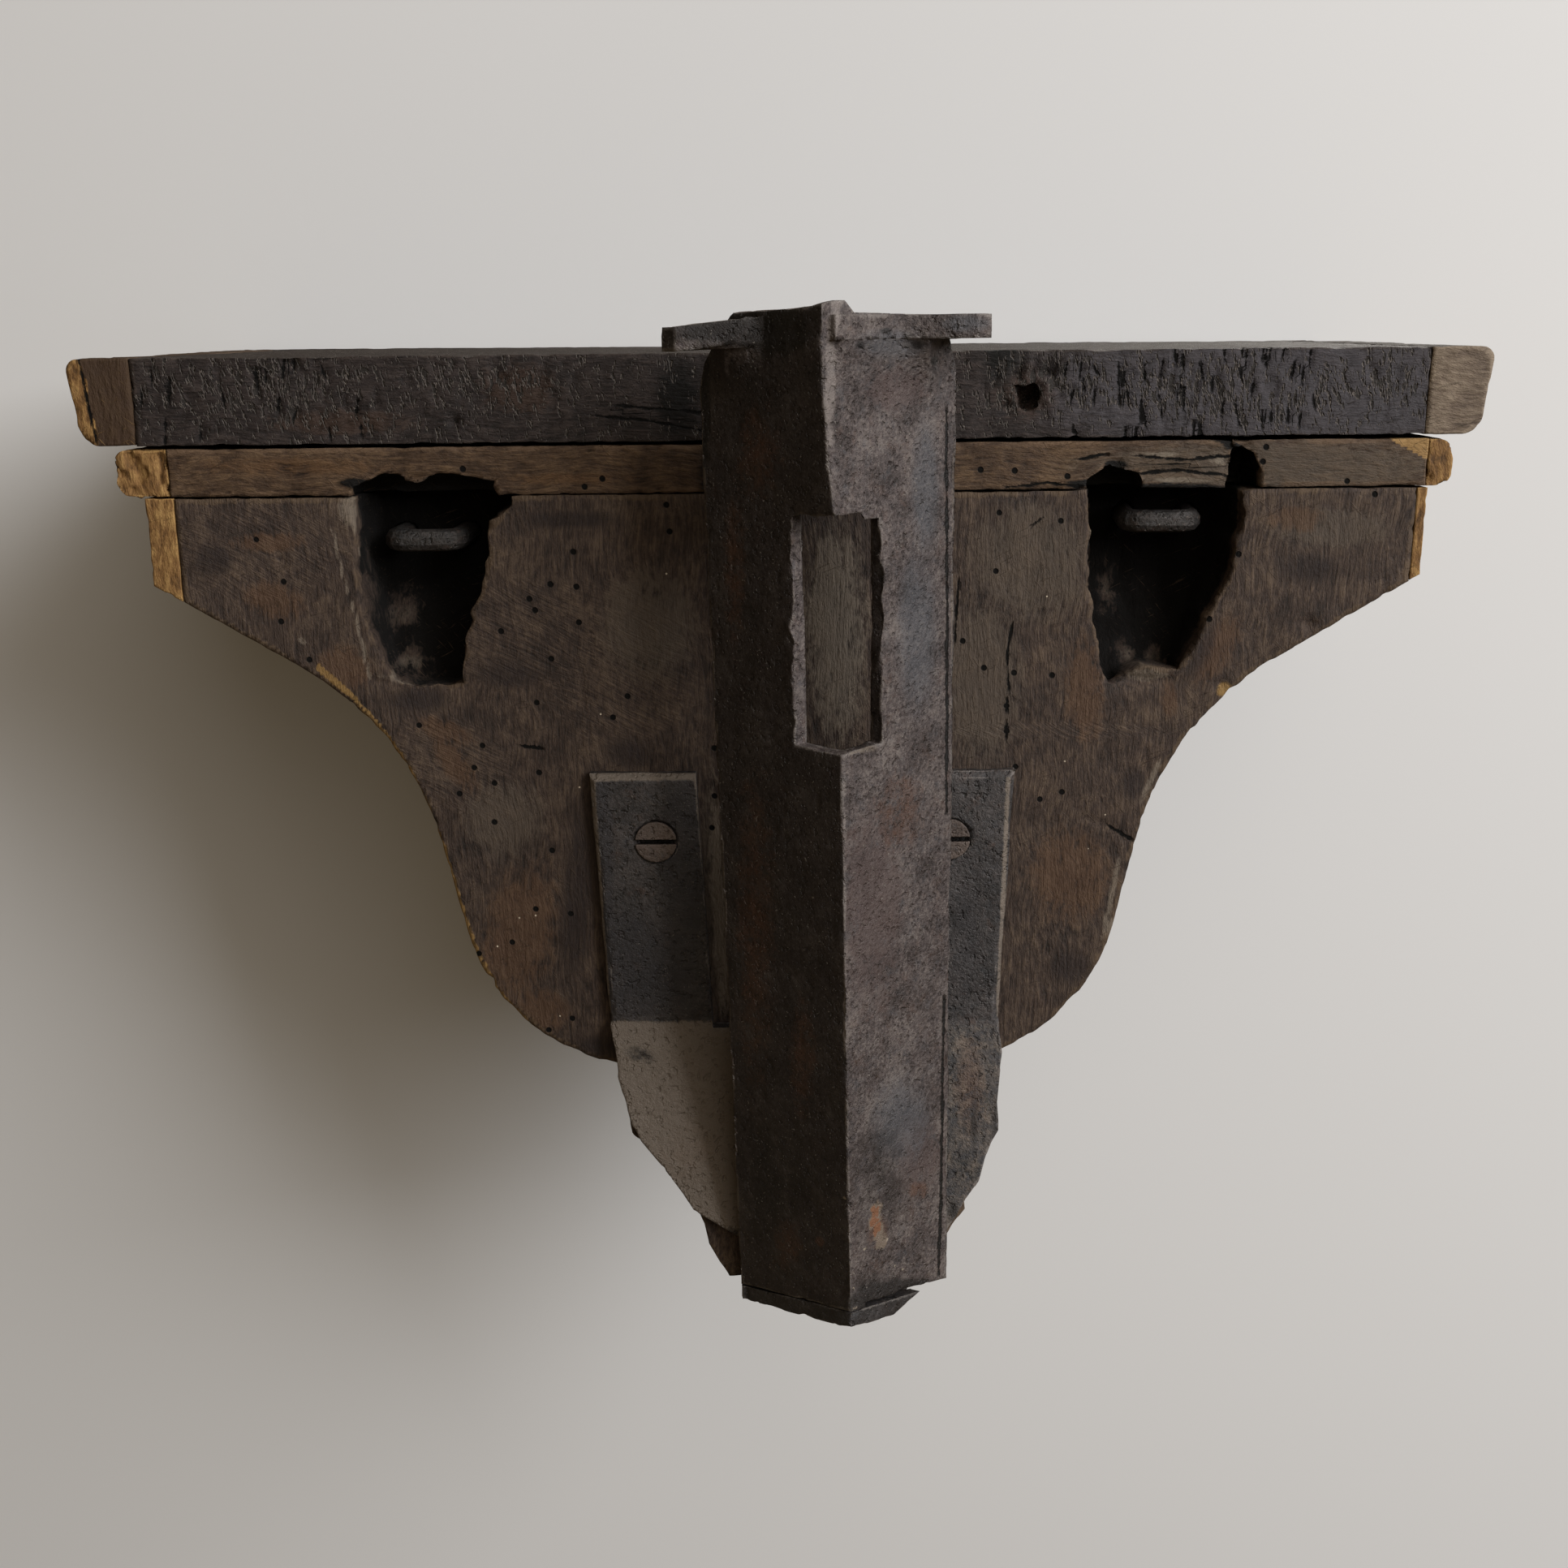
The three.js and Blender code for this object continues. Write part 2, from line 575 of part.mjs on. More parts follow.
function slottedScrews() {
  return screws().map((solid, i) => {
    const x = screwXs()[i];
    const z = -YOKE_TOP - SCREW_DROP;
    const half = SCREW_SLOT / 2;
    const slot = [[x - SCREW_HEAD, z - half], [x + SCREW_HEAD, z - half],
      [x + SCREW_HEAD, z + half], [x - SCREW_HEAD, z + half]];
    return solid.subtract(alongY(slot, plateFace + PROUD, plateFace - SCREW_SLOT_DEPTH));
  });
}

// The corner channel: a V of sheet iron, its ridge to the wall, with a slot and an eared top

function channel() {
  const top = CHANNEL_TOP + RIDGE_BUMP;
  const foot = fold[1] - BEYOND / 2;
  const inner = CHANNEL_SHEET * Math.SQRT2;
  const section = [[-CHANNEL_LEFT, 0], [-CHANNEL_LEFT + inner, 0], [0, CHANNEL_RISE - inner],
    [CHANNEL_RIGHT - inner, 0], [CHANNEL_RIGHT, 0], [0, CHANNEL_RISE]];
  const geometry = extrude(section, top - foot, CHANNEL_STEPS);
  const position = geometry.attributes.position;
  for (let i = 0; i < position.count; i += 1) {
    const z = position.getZ(i) + foot;
    const share = channelShare(z);
    const onRidge = position.getX(i) === 0;
    const knock = onRidge ? RIDGE_TWIST * twisted(z) : 0;
    const x = position.getX(i) * share + channelX(z) + knock;
    position.setXYZ(i, x, position.getY(i) * share + channelEdge, z);
  }
  const sheet = toSolid(geometry).intersect(channelFront()).intersect(channelFoot());
  return sheet.add(eared()).subtract(slotCutter());
}

function twisted(z) {
  const start = -RIDGE_TWIST_DROP;
  return THREE.MathUtils.smoothstep(z, start, start + RIDGE_TWIST_LENGTH);
}

// The channel seen from the wall: clipped top corners and a bump over the ridge
function channelFront() {
  const x = CHANNEL_X;
  const top = CHANNEL_TOP;
  const [left, right] = [x - CHANNEL_LEFT, x + CHANNEL_RIGHT];
  const [bump, cut, drop] = [RIDGE_BUMP, CORNER_CUT, CORNER_DROP];
  const points = [[left - BEYOND, -FAR], [left - BEYOND, top - drop], [left, top - drop],
    [left + cut * 0.5, top - drop * 0.35], [left + cut, top], [x - bump * 1.4, top + bump * 0.15],
    [x - bump * 0.7, top + bump], [x + bump * 0.35, top + bump], [x + bump * 1.8, top + bump * 0.6],
    [right - cut * 2, top + bump * 0.25], [right - cut * 1.5, top - drop * 0.17],
    [right - cut * 0.4, top - drop * 0.8], [right, top - drop * 1.2],
    [right + BEYOND, top - drop * 1.2], [right + BEYOND, -FAR]];
  return alongY(points.reverse(), FAR, -FAR);
}

// Everything a given gap above the folded floor, between two places along X
function aboveFloor(gap, from, to) {
  const [start, end] = floorLine(gap);
  return alongX([start, end, [end[0], FAR * 2], [start[0], FAR * 2]], from, to);
}

// The right face stands just clear of the floor, the left one stops short of it
function channelFoot() {
  const turn = channelX(floorFace[1]) - CHANNEL_SHEET;
  return aboveFloor(JOINT, turn, FAR).add(aboveFloor(FOOT_GAP, -FAR, FAR));
}

// The flat bar across the top, with an ear on each side
function eared() {
  const half = EAR_LENGTH / 2;
  const low = CHANNEL_TOP - EAR_THICKNESS;
  const back = channelEdge;
  const nose = channelEdge + CHANNEL_RISE;
  const front = back + EAR_DEPTH;
  const corner = EAR_CORNER;
  const [left, right] = [EAR_X - half, EAR_X + half];
  const plan = [[left, back + corner], [left + corner, back], [right - corner, back],
    [right, back + corner], [right, front - corner], [right - corner, front],
    [CHANNEL_X + CHANNEL_RIGHT / 2, front], [CHANNEL_X, nose],
    [CHANNEL_X - CHANNEL_LEFT / 2, front], [left + corner, front], [left, front - corner]];
  const geometry = extrude(plan, EAR_THICKNESS);
  const position = geometry.attributes.position;
  for (let i = 0; i < position.count; i += 1) {
    const droop = position.getX(i) > right - corner * 1.5 ? EAR_DROOP : 0;
    position.setZ(i, position.getZ(i) + low - droop);
  }
  return toSolid(geometry);
}

// The slot's sides are cut square to each face of the channel, its top edge is ragged
function slotCutter() {
  const middle = (slotTop + slotFoot) / 2;
  const x = channelX(middle);
  const half = SLOT_WIDTH / 2;
  const rise = CHANNEL_RISE * channelShare(middle);
  const apex = channelEdge + rise - SLOT_WIDTH;
  const wedge = [[x, apex], [x + FAR, apex + FAR], [x - FAR, apex + FAR]];
  const ragged = [[-1, -1], [-0.6, -0.985], [0.2, -1.01], [1, -1], [1, 0.96], [0.7, 1],
    [0.4, 0.985], [0.1, 1.01], [-0.45, 1], [-0.5, 0.94], [-1, 0.95]];
  const outline = ragged.map(([a, b]) => [x + a * (half + PROUD), middle + (b * SLOT_HEIGHT) / 2]);
  return alongY(outline, FAR, 0).intersect(alongZ(wedge, -FAR, FAR));
}

// The broken wooden tail behind the leaning plate, under the body

const TAIL_RAG_RIGHT = [[0, 37], [0.11, 45.2], [0.29, 43.8], [0.47, 34], [0.62, 28.5],
  [0.74, 25.6], [0.84, 24.4], [0.94, 21.4], [1, 19.4]];
const TAIL_RAG_LEFT = [[0, 40], [0.3, 43], [0.55, 40], [0.68, 40.6], [0.76, 37.5], [0.95, 30]];

function tail() {
  const top = bodyFoot() - JOINT;
  const foot = fold[1] + SHEET;
  const drop = top - foot;
  const right = TAIL_RAG_RIGHT.map(([share, half]) => [YOKE_X + half, top - share * drop]);
  const left = TAIL_RAG_LEFT.map(([share, half]) => [YOKE_X - half, top - share * drop]);
  const outline = alongY([...left, ...right.reverse()], FAR, -FAR);
  const behind = (z) => JOINT + (innerBend - z) * Math.tan(lean) - JOINT / Math.cos(lean);
  const side = [[behind(top), top], [behind(top) - TAIL_DEPTH, top],
    [behind(foot) - TAIL_FOOT_DEPTH, foot], [behind(foot), foot]];
  const reach = YOKE_SPREAD * 2;
  return outline.intersect(alongX(side, YOKE_X - reach, YOKE_X + reach));
}

function bodyFoot() {
  return bodyProfile().at(-1)[1];
}

// The pieces, placed so that the staples' mean height is z = 0

const bracket = new THREE.Group();
bracket.position.z = STAPLE_DROP;

const shelf = shelfPieces();
const strip = stripPieces();
const body = bodyPieces();
const [stapleRight, stapleLeft] = staples();
const [screwRight, screwLeft] = slottedScrews();

bracket.add(toMesh('shelf_board', shelf.core, '#3b332e', 0.7, 0));
bracket.add(toMesh('shelf_moulding_right', shelf.right, '#6b5233', 0.7, 0));
bracket.add(toMesh('shelf_moulding_left', shelf.left, '#6e6054', 0.7, 0));
bracket.add(toMesh('shelf_moulding_front', shelf.front, '#4a3828', 0.6, 0));
bracket.add(toMesh('strip_board', strip.core, '#5c4836', 0.75, 0));
bracket.add(toMesh('strip_bead_right', strip.right, '#9a7644', 0.7, 0));
bracket.add(toMesh('strip_bead_left', strip.left, '#9a7a4c', 0.7, 0));
bracket.add(toMesh('strip_bead_front', strip.front, '#4a3828', 0.6, 0));
bracket.add(toMesh('bracket_body', body.core, '#4b3d32', 0.75, 0));
bracket.add(toMesh('side_band_right', body.right, '#94703f', 0.75, 0));
bracket.add(toMesh('side_band_left', body.left, '#94703f', 0.75, 0));
bracket.add(toMesh('side_band_front', body.front, '#46362a', 0.65, 0));
bracket.add(toMesh('hanging_staple_right', stapleRight, '#57534e', 0.6, 0.8));
bracket.add(toMesh('hanging_staple_left', stapleLeft, '#57534e', 0.6, 0.8));
bracket.add(toMesh('iron_yoke', yoke(), '#3f3a37', 0.7, 0.7));
bracket.add(toMesh('yoke_screw_right', screwRight, '#4b403a', 0.5, 0.8));
bracket.add(toMesh('yoke_screw_left', screwLeft, '#4b403a', 0.5, 0.8));
bracket.add(toMesh('corner_channel', channel(), '#3a322e', 0.7, 0.7));
bracket.add(toMesh('tail_block', tail(), '#43342b', 0.8, 0));

export default bracket;
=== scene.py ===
# %% [markdown]
# # The back of an old console bracket
#
# The real thing is a wooden wall shelf of about 33 cm, carved perhaps two centuries ago. We look at
# its back: a dark board on a moulded strip on a tapering body, two pockets with iron staples that
# once caught the wall's hooks, and a V of wrought iron held by a screwed iron yoke. Nothing on it
# is crisp any more, so the lesson is mostly about age: rounded edges, dents, wormholes and rust.

# %% Load the measured model
import json
import math

import bmesh
import bpy
import numpy as np
from mathutils import Matrix, Vector

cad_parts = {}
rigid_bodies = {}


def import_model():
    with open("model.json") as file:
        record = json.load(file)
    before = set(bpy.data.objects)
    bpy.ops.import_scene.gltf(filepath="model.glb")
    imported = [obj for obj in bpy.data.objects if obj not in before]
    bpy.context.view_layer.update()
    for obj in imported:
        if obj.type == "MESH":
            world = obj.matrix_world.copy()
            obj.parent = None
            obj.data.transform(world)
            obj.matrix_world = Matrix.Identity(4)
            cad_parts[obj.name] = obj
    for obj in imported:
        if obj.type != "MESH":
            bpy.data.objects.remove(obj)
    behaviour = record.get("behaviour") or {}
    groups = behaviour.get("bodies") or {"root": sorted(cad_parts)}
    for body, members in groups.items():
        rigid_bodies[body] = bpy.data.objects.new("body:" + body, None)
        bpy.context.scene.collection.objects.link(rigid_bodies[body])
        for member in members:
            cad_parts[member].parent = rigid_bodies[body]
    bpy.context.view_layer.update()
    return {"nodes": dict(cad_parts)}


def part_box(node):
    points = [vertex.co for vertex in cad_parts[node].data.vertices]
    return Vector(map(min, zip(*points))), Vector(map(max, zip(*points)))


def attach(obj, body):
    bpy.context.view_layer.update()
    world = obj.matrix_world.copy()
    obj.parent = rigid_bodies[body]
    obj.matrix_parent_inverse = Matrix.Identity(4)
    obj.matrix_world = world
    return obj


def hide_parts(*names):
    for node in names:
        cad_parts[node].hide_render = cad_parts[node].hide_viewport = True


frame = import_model()
MM = 0.001

# %% [markdown]
# ## The camera
#
# The photograph was taken from close by, looking almost squarely at the back and a little down on
# it. Four numbers say all of it: how far away, how high, how much the lens takes in and how far
# it leans. They were found from the shelf's straight edges, whose pixels give them by geometry.
# The same numbers also say which pixel shows a point of the object, and that is how wormholes,
# stains and dents find their places further down.

# %% Camera
PHOTO_SIDE = 1932
FOCAL_PIXELS = 2084
CAMERA_PLACE = np.array([0, 398.7, 48.3]) * MM
CAMERA_LEAN = math.radians(15.3)
CAMERA_ROLL = math.radians(0.53)

backwards = np.array([0, math.cos(CAMERA_LEAN), math.sin(CAMERA_LEAN)])
level_up = np.array([0, -math.sin(CAMERA_LEAN), math.cos(CAMERA_LEAN)])
level_right = np.array([-1.0, 0, 0])
view_right = level_right * math.cos(CAMERA_ROLL) - level_up * math.sin(CAMERA_ROLL)
view_up = level_right * math.sin(CAMERA_ROLL) + level_up * math.cos(CAMERA_ROLL)

camera = bpy.data.objects.new("camera", bpy.data.cameras.new("camera"))
bpy.context.scene.collection.objects.link(camera)
turn = Matrix([view_right, view_up, backwards]).transposed().to_4x4()
camera.matrix_world = Matrix.Translation(CAMERA_PLACE) @ turn
camera.data.sensor_width = 36
camera.data.lens = 36 * FOCAL_PIXELS / PHOTO_SIDE
camera.data.clip_start = 0.01
camera.data.clip_end = 20
bpy.context.scene.camera = camera


def ray_through(u, v):
    """The direction from the camera through pixel (u, v)."""
    middle = PHOTO_SIDE / 2
    return (view_right * (u - middle) - view_up * (v - middle)) / FOCAL_PIXELS - backwards


def seen_at(u, v, depth_mm=0.0):
    """The place on the plane y = depth that the photograph shows at pixel (u, v): the ray through
    the pixel, carried on until its y is that depth."""
    ray = ray_through(u, v)
    return CAMERA_PLACE + ray * (depth_mm * MM - CAMERA_PLACE[1]) / ray[1]


def photo_pixels(points):
    """Where the photograph shows each point: its offset to the right and down from the camera,
    over its distance along the view, times the focal length."""
    offset = points - CAMERA_PLACE
    scale = FOCAL_PIXELS / (offset @ -backwards)
    right, up = offset @ view_right * scale, offset @ view_up * scale
    return np.stack([PHOTO_SIDE / 2 + right, PHOTO_SIDE / 2 - up], axis=1)


print("lens in mm:", round(camera.data.lens, 2), "left screw at", seen_at(809, 1035).round(4))

# %% [markdown]
# ## The stage
#
# The real bracket lies on its face on pale cloth. A plain pale sheet just in front of the shelf's
# face stands for it, and takes the soft shadow. It is one-sided, and light passes through it, so
# that the bracket's front can be looked at and is lit as well. The light is a window's: broad,
# from the right, and low over the back, so every dent shows. The room itself is dim and warm.

# %% Sheet, lights and world
scene = bpy.context.scene
scene.view_settings.view_transform = "Standard"


def linear(code, alpha=1.0):
    """An sRGB hex colour as linear light: a straight line below 0.04045, a power of 2.4 above."""
    shares = [int(code[i:i + 2], 16) / 255 for i in (1, 3, 5)]
    values = [c / 12.92 if c <= 0.04045 else ((c + 0.055) / 1.055) ** 2.4 for c in shares]
    return (*values, alpha)


def add(tree, kind, inputs=None, stops=None, **settings):
    """Adds one shader node: settings are its own options, inputs are values or sockets to link."""
    made = tree.nodes.new("ShaderNode" + kind)
    for name, value in settings.items():
        setattr(made, name, value)
    for name, value in (inputs or {}).items():
        if isinstance(value, bpy.types.NodeSocket):
            tree.links.new(value, made.inputs[name])
        else:
            made.inputs[name].default_value = value
    for i, (place, colour) in enumerate(stops or []):
        ramp = made.color_ramp.elements
        stop = ramp[i] if i < 2 else ramp.new(place)
        stop.position = place
        stop.color = linear(colour)
    return made


def empty_material(name):
    """A material with nothing in it but its output; returns it, its tree and the output node."""
    material = bpy.data.materials.new(name)
    material.use_nodes = True
    tree = material.node_tree
    tree.nodes.clear()
    return material, tree, tree.nodes.new("ShaderNodeOutputMaterial")


SHEET_REACH = 1.2
SHEET_GAP = 2 * MM
ROOM_STRENGTH = 0.142
sheet_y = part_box("shelf_moulding_front")[0].y - SHEET_GAP
sheet_mesh = bpy.data.meshes.new("pale_sheet")
corners = [(-SHEET_REACH, sheet_y, -SHEET_REACH), (-SHEET_REACH, sheet_y, SHEET_REACH),
           (SHEET_REACH, sheet_y, SHEET_REACH), (SHEET_REACH, sheet_y, -SHEET_REACH)]
sheet_mesh.from_pydata(corners, [], [(0, 1, 2, 3)])
sheet = bpy.data.objects.new("pale_sheet", sheet_mesh)
scene.collection.objects.link(sheet)
sheet.visible_shadow = False
sheet.visible_diffuse = False
sheet.visible_glossy = False
sheet.visible_transmission = False

cloth, tree, output = empty_material("pale_cloth")
matt = add(tree, "BsdfDiffuse", {"Color": linear("#cfd0d1")})
clear = add(tree, "BsdfTransparent")
side = add(tree, "NewGeometry")
one_sided = add(tree, "MixShader", {0: side.outputs["Backfacing"], 1: matt.outputs[0],
                                    2: clear.outputs[0]})
tree.links.new(one_sided.outputs[0], output.inputs["Surface"])
sheet_mesh.materials.append(cloth)

world = bpy.data.worlds.new("soft_room")
world.use_nodes = True
room = world.node_tree
room.nodes["Background"].inputs["Color"].default_value = linear("#ffe2b8")
room.nodes["Background"].inputs["Strength"].default_value = ROOM_STRENGTH
scene.world = world


def soft_light(name, place, aim, size, power, colour):
    """A square area light of a given size, turned so that it faces the point aim."""
    light = bpy.data.lights.new(name, "AREA")
    light.shape = "SQUARE"
    light.size = size
    light.energy = power
    light.color = linear(colour)[:3]
    lamp = bpy.data.objects.new(name, light)
    lamp.location = place
    lamp.rotation_mode = "QUATERNION"
    lamp.rotation_quaternion = (Vector(aim) - Vector(place)).to_track_quat("-Z", "Y")
    scene.collection.objects.link(lamp)
    return lamp


MIDDLE_OF_BACK = (0, 0, -0.06)
soft_light("window_right", (-1.55, 1.15, 0.9), MIDDLE_OF_BACK, 1.3, 61, "#fbfbfc")
soft_light("far_window", (-0.75, 1.6, 1.1), MIDDLE_OF_BACK, 1.6, 14, "#fff6ea")
soft_light("front_lamp", (-0.9, -1.3, 0.9), (0, -0.05, -0.04), 1.0, 26, "#fffaf2")

# %% [markdown]
# ## A skin that can wear
#
# The measured pieces are exact and have razor edges. Old wood and wrought iron don't. Each piece
# therefore gets a skin: a net of small squares wrapped round a copy of it by the sharp remesh,
# which keeps the arrises where they are. Then every point of the net can be pushed in. All the
# pushing is done on whole arrays: a formula gives each point's depth, and the point moves that
# far along its own normal. The other way would be sculpting by hand, which nobody could repeat.
# Only at a few joints and rims does a point move another way, and each function says how far.

# %% Skins
LARGEST_SCALE = 0.99


def skin(node, name, square_mm, squeeze=1.0):
    """Wraps a copy of a measured piece in a net of squares. The copy is squeezed front to back
    before and let out again after, so the squares are longer that way, and most of them lie on
    the back, which is seen."""
    copy = frame["nodes"][node].data.copy()
    welded = bmesh.new()
    welded.from_mesh(copy)
    bmesh.ops.remove_doubles(welded, verts=welded.verts, dist=1e-6)
    bmesh.ops.scale(welded, vec=(1, 1 / squeeze, 1), verts=welded.verts)
    welded.to_mesh(copy)
    welded.free()
    low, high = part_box(node)
    size = high - low
    cells = max(size.x, size.y / squeeze, size.z) / (square_mm * MM)
    rough_copy = bpy.data.objects.new(name + "_copy", copy)
    scene.collection.objects.link(rough_copy)
    net = rough_copy.modifiers.new("net", "REMESH")
    net.mode = "SHARP"
    net.use_remove_disconnected = False
    net.octree_depth = math.ceil(math.log2(cells / LARGEST_SCALE))
    net.scale = cells / 2 ** net.octree_depth
    graph = bpy.context.evaluated_depsgraph_get()
    mesh = bpy.data.meshes.new_from_object(rough_copy.evaluated_get(graph))
    mesh.transform(Matrix.Diagonal((1, squeeze, 1, 1)))
    mesh.name = name
    bpy.data.objects.remove(rough_copy)
    bpy.data.meshes.remove(copy)
    mesh.materials.clear()
    mesh.shade_smooth()
    piece = bpy.data.objects.new(name, mesh)
    scene.collection.objects.link(piece)
    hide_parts(node)
    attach(piece, "root")
    return piece


def read(piece):
    """The piece's points, their normals and its edges, as arrays."""
    mesh = piece.data
    points = np.empty(len(mesh.vertices) * 3, np.float32)
    normals = np.empty(len(mesh.vertices) * 3, np.float32)
    edges = np.empty(len(mesh.edges) * 2, np.int32)
    mesh.vertices.foreach_get("co", points)
    mesh.vertex_normals.foreach_get("vector", normals)
    mesh.edges.foreach_get("vertices", edges)
    return points.reshape(-1, 3).astype(float), normals.reshape(-1, 3), edges.reshape(-1, 2)


def write(piece, points):
    """Puts moved points back into the piece."""
    piece.data.vertices.foreach_set("co", points.astype(np.float32).ravel())
    piece.data.update()


def relaxed(values, edges, rounds):
    """Blurs a value over the net: each takes half of its own and half of its neighbours' mean."""
    flat = values.reshape(len(values), -1).astype(float)
    starts, ends = edges[:, 0], edges[:, 1]
    links = np.bincount(edges.ravel(), minlength=len(flat))[:, None].clip(1)
    for _ in range(rounds):
        total = np.stack([np.bincount(starts, column[ends], len(flat))
                          + np.bincount(ends, column[starts], len(flat))
                          for column in flat.T], axis=1)
        flat = 0.5 * flat + 0.5 * total / links
    return flat.reshape(values.shape)


def stands_out(points, normals, edges):
    """How far each point stands out over its neighbours' mean, along its normal, in mm: about 0
    on a face, above 0 on an arris and below 0 in a corner. One blur evens it out."""
    around = 2 * relaxed(points, edges, 1) - points
    return relaxed(((points - around) * normals).sum(axis=1), edges, 1) / MM


def push(piece, depths_mm):
    """Sinks every point along its normal by its own depth. Nothing is pushed outwards, so the
    piece stays inside its measured shape."""
    points, normals, _ = read(piece)
    write(piece, points - normals * (np.clip(depths_mm, 0, None) * MM)[:, None])


def keep(piece, name, values):
    """Stores one number from 0 to 1 for each point, for the materials to read."""
    store = piece.data.attributes.new(name, "FLOAT", "POINT")
    store.data.foreach_set("value", np.clip(values, 0, 1).astype(np.float32))


print("the net fills at most", LARGEST_SCALE, "of its lattice")

# %% [markdown]
# ## Chance and places
#
# Two kinds of numbers drive the wear. Chance gives the small things: a lattice of random numbers,
# mixed smoothly between its corners, is the oldest noise there is, and works on whole arrays. The
# photograph gives the large ones: a stain or a dent is an oval at a pixel, and a crack is a run
# of short lines from pixel to pixel.

# %% Random fields, ovals and lines
def rising(values, start, width):
    """A ramp: 0 up to start, 1 from start plus width on, and a straight line between them."""
    return np.clip((values - start) / width, 0, 1)


def random_field(points, size_mm, seed):
    """Smooth random heights from -1 to 1: every corner of a lattice of cubes gets its own random
    number, and a point takes the smooth mix of the eight corners around it. size_mm may be three
    sizes, for lumps that are longer one way."""
    cells = points / (np.array(size_mm) * MM) + 1000
    base = np.floor(cells).astype(np.int64)
    share = cells - base
    share = share * share * (3 - 2 * share)
    total = np.zeros(len(points))
    for corner in np.ndindex(2, 2, 2):
        x, y, z = (base + corner).T
        mixed = (x * 73856093 ^ y * 19349663 ^ z * 83492791 ^ seed * 6542989) & 0x7FFFFFFF
        mixed = ((mixed ^ mixed >> 13) * 1274126177) & 0x7FFFFFFF
        mixed = ((mixed ^ mixed >> 16) * 668265263) & 0x7FFFFFFF
        weight = np.prod(np.where(corner, share, 1 - share), axis=1)
        total += weight * (mixed / 0x3FFFFFFF - 1)
    return total


def ovals(pixels, places):
    """Soft ovals on the photograph, each (u, v, half width, half height, tilt in degrees): a bell
    curve of the distance from its centre. Where ovals meet, the stronger counts."""
    total = np.zeros(len(pixels))
    for u, v, wide, high, tilt in places:
        a = math.radians(tilt)
        x, y = pixels[:, 0] - u, pixels[:, 1] - v
        along, aside = x * math.cos(a) + y * math.sin(a), y * math.cos(a) - x * math.sin(a)
        total = np.maximum(total, np.exp(-(along / wide) ** 2 - (aside / high) ** 2))
    return total


def lines(pixels, runs, half_width):
    """Lines through runs of pixels: a bell curve of the distance to the nearest short line."""
    nearest = np.full(len(pixels), np.inf)
    for run in runs:
        for start, end in zip(np.array(run, float), np.array(run[1:], float)):
            way = end - start
            share = np.clip((pixels - start) @ way / (way @ way), 0, 1)
            foot = start + share[:, None] * way
            nearest = np.minimum(nearest, np.linalg.norm(pixels - foot, axis=1))
    return np.exp(-(nearest / half_width) ** 2)


print("chance at three points:", random_field(np.eye(3) * 0.01, 7, 1).round(2))

# %% [markdown]
# ## Ragged rims and thin lines
#
# Two things don't fit a net that is only pushed in. A cut rim has to turn ragged, so its points
# are shifted sideways. And a crack is thinner than a square of the net, so the points only keep
# how far they lie from it and on which side. Between them that distance changes evenly, and the
# material can draw a sharp line where it is small.

# %% Ragged rims and thin lines
LINE_REACH = 20
LINE_NEAR = 8
END_FADE = 3


def keep_lines(piece, pixels, runs, where=1.0):
    """Stores thin lines so that the material can draw them sharper than the net: for each point
    the distance in pixels to the nearest short line's own straight line, with a sign for its
    side, and whether the point lies close beside the line or past its ends."""
    best = np.full(len(pixels), np.inf)
    side = np.zeros(len(pixels))
    beside = np.zeros(len(pixels))
    for run in runs:
        for start, end in zip(np.array(run, float), np.array(run[1:], float)):
            way = (end - start) / np.linalg.norm(end - start)
            along = (pixels - start) @ way
            past = np.maximum(-along, along - np.linalg.norm(end - start)).clip(0)
            aside = (pixels - start) @ np.array([-way[1], way[0]])
            distance = np.hypot(past, aside)
            nearer = distance < best
            best = np.where(nearer, distance, best)
            side = np.where(nearer, aside, side)
            beside = np.where(nearer, np.exp(-(past / END_FADE) ** 2), beside)
    keep(piece, "line_side", 0.5 + np.clip(side, -LINE_REACH, LINE_REACH) / (2 * LINE_REACH))
    keep(piece, "line_here", beside * where * (best < LINE_NEAR))


def warp(piece, share, reach_mm=0.9, size_mm=3.0, seed=0):
    """Shifts points sideways, never in or out, so that a clean cut edge turns ragged: each gets
    a random shift along X, and half as much along Z, from lumps of two sizes."""
    points, _, _ = read(piece)
    shifts = [random_field(points, size_mm, seed + axis)
              + 0.4 * random_field(points, size_mm / 2.3, seed + 5 + axis) for axis in (0, 1)]
    points[:, 0] += share * shifts[0] * reach_mm * MM
    points[:, 2] += share * shifts[1] * reach_mm * MM / 2
    write(piece, points)


def on_back(points, normals, deepest_mm=-40):
    """1 on faces that look back or sideways and lie near the back, 0 on the bracket's front."""
    return ((normals[:, 1] > -0.2) & (points[:, 1] > deepest_mm * MM)).astype(float)


print("lines are kept up to", LINE_NEAR, "pixels away")

# %% [markdown]
# ## Wooden pieces
#
# The shelf, the strip and the body are each wrapped, then aged. Hand tools leave shallow waves of
# a few centimetres, wear adds hollows of a centimetre or less, and knocks take crumbs out of the
# edges. Edges suffer most, so the crumbs are deeper where a point stands out. The thin pieces
# round the ends are glued on, so their joints are closed to a hairline first.

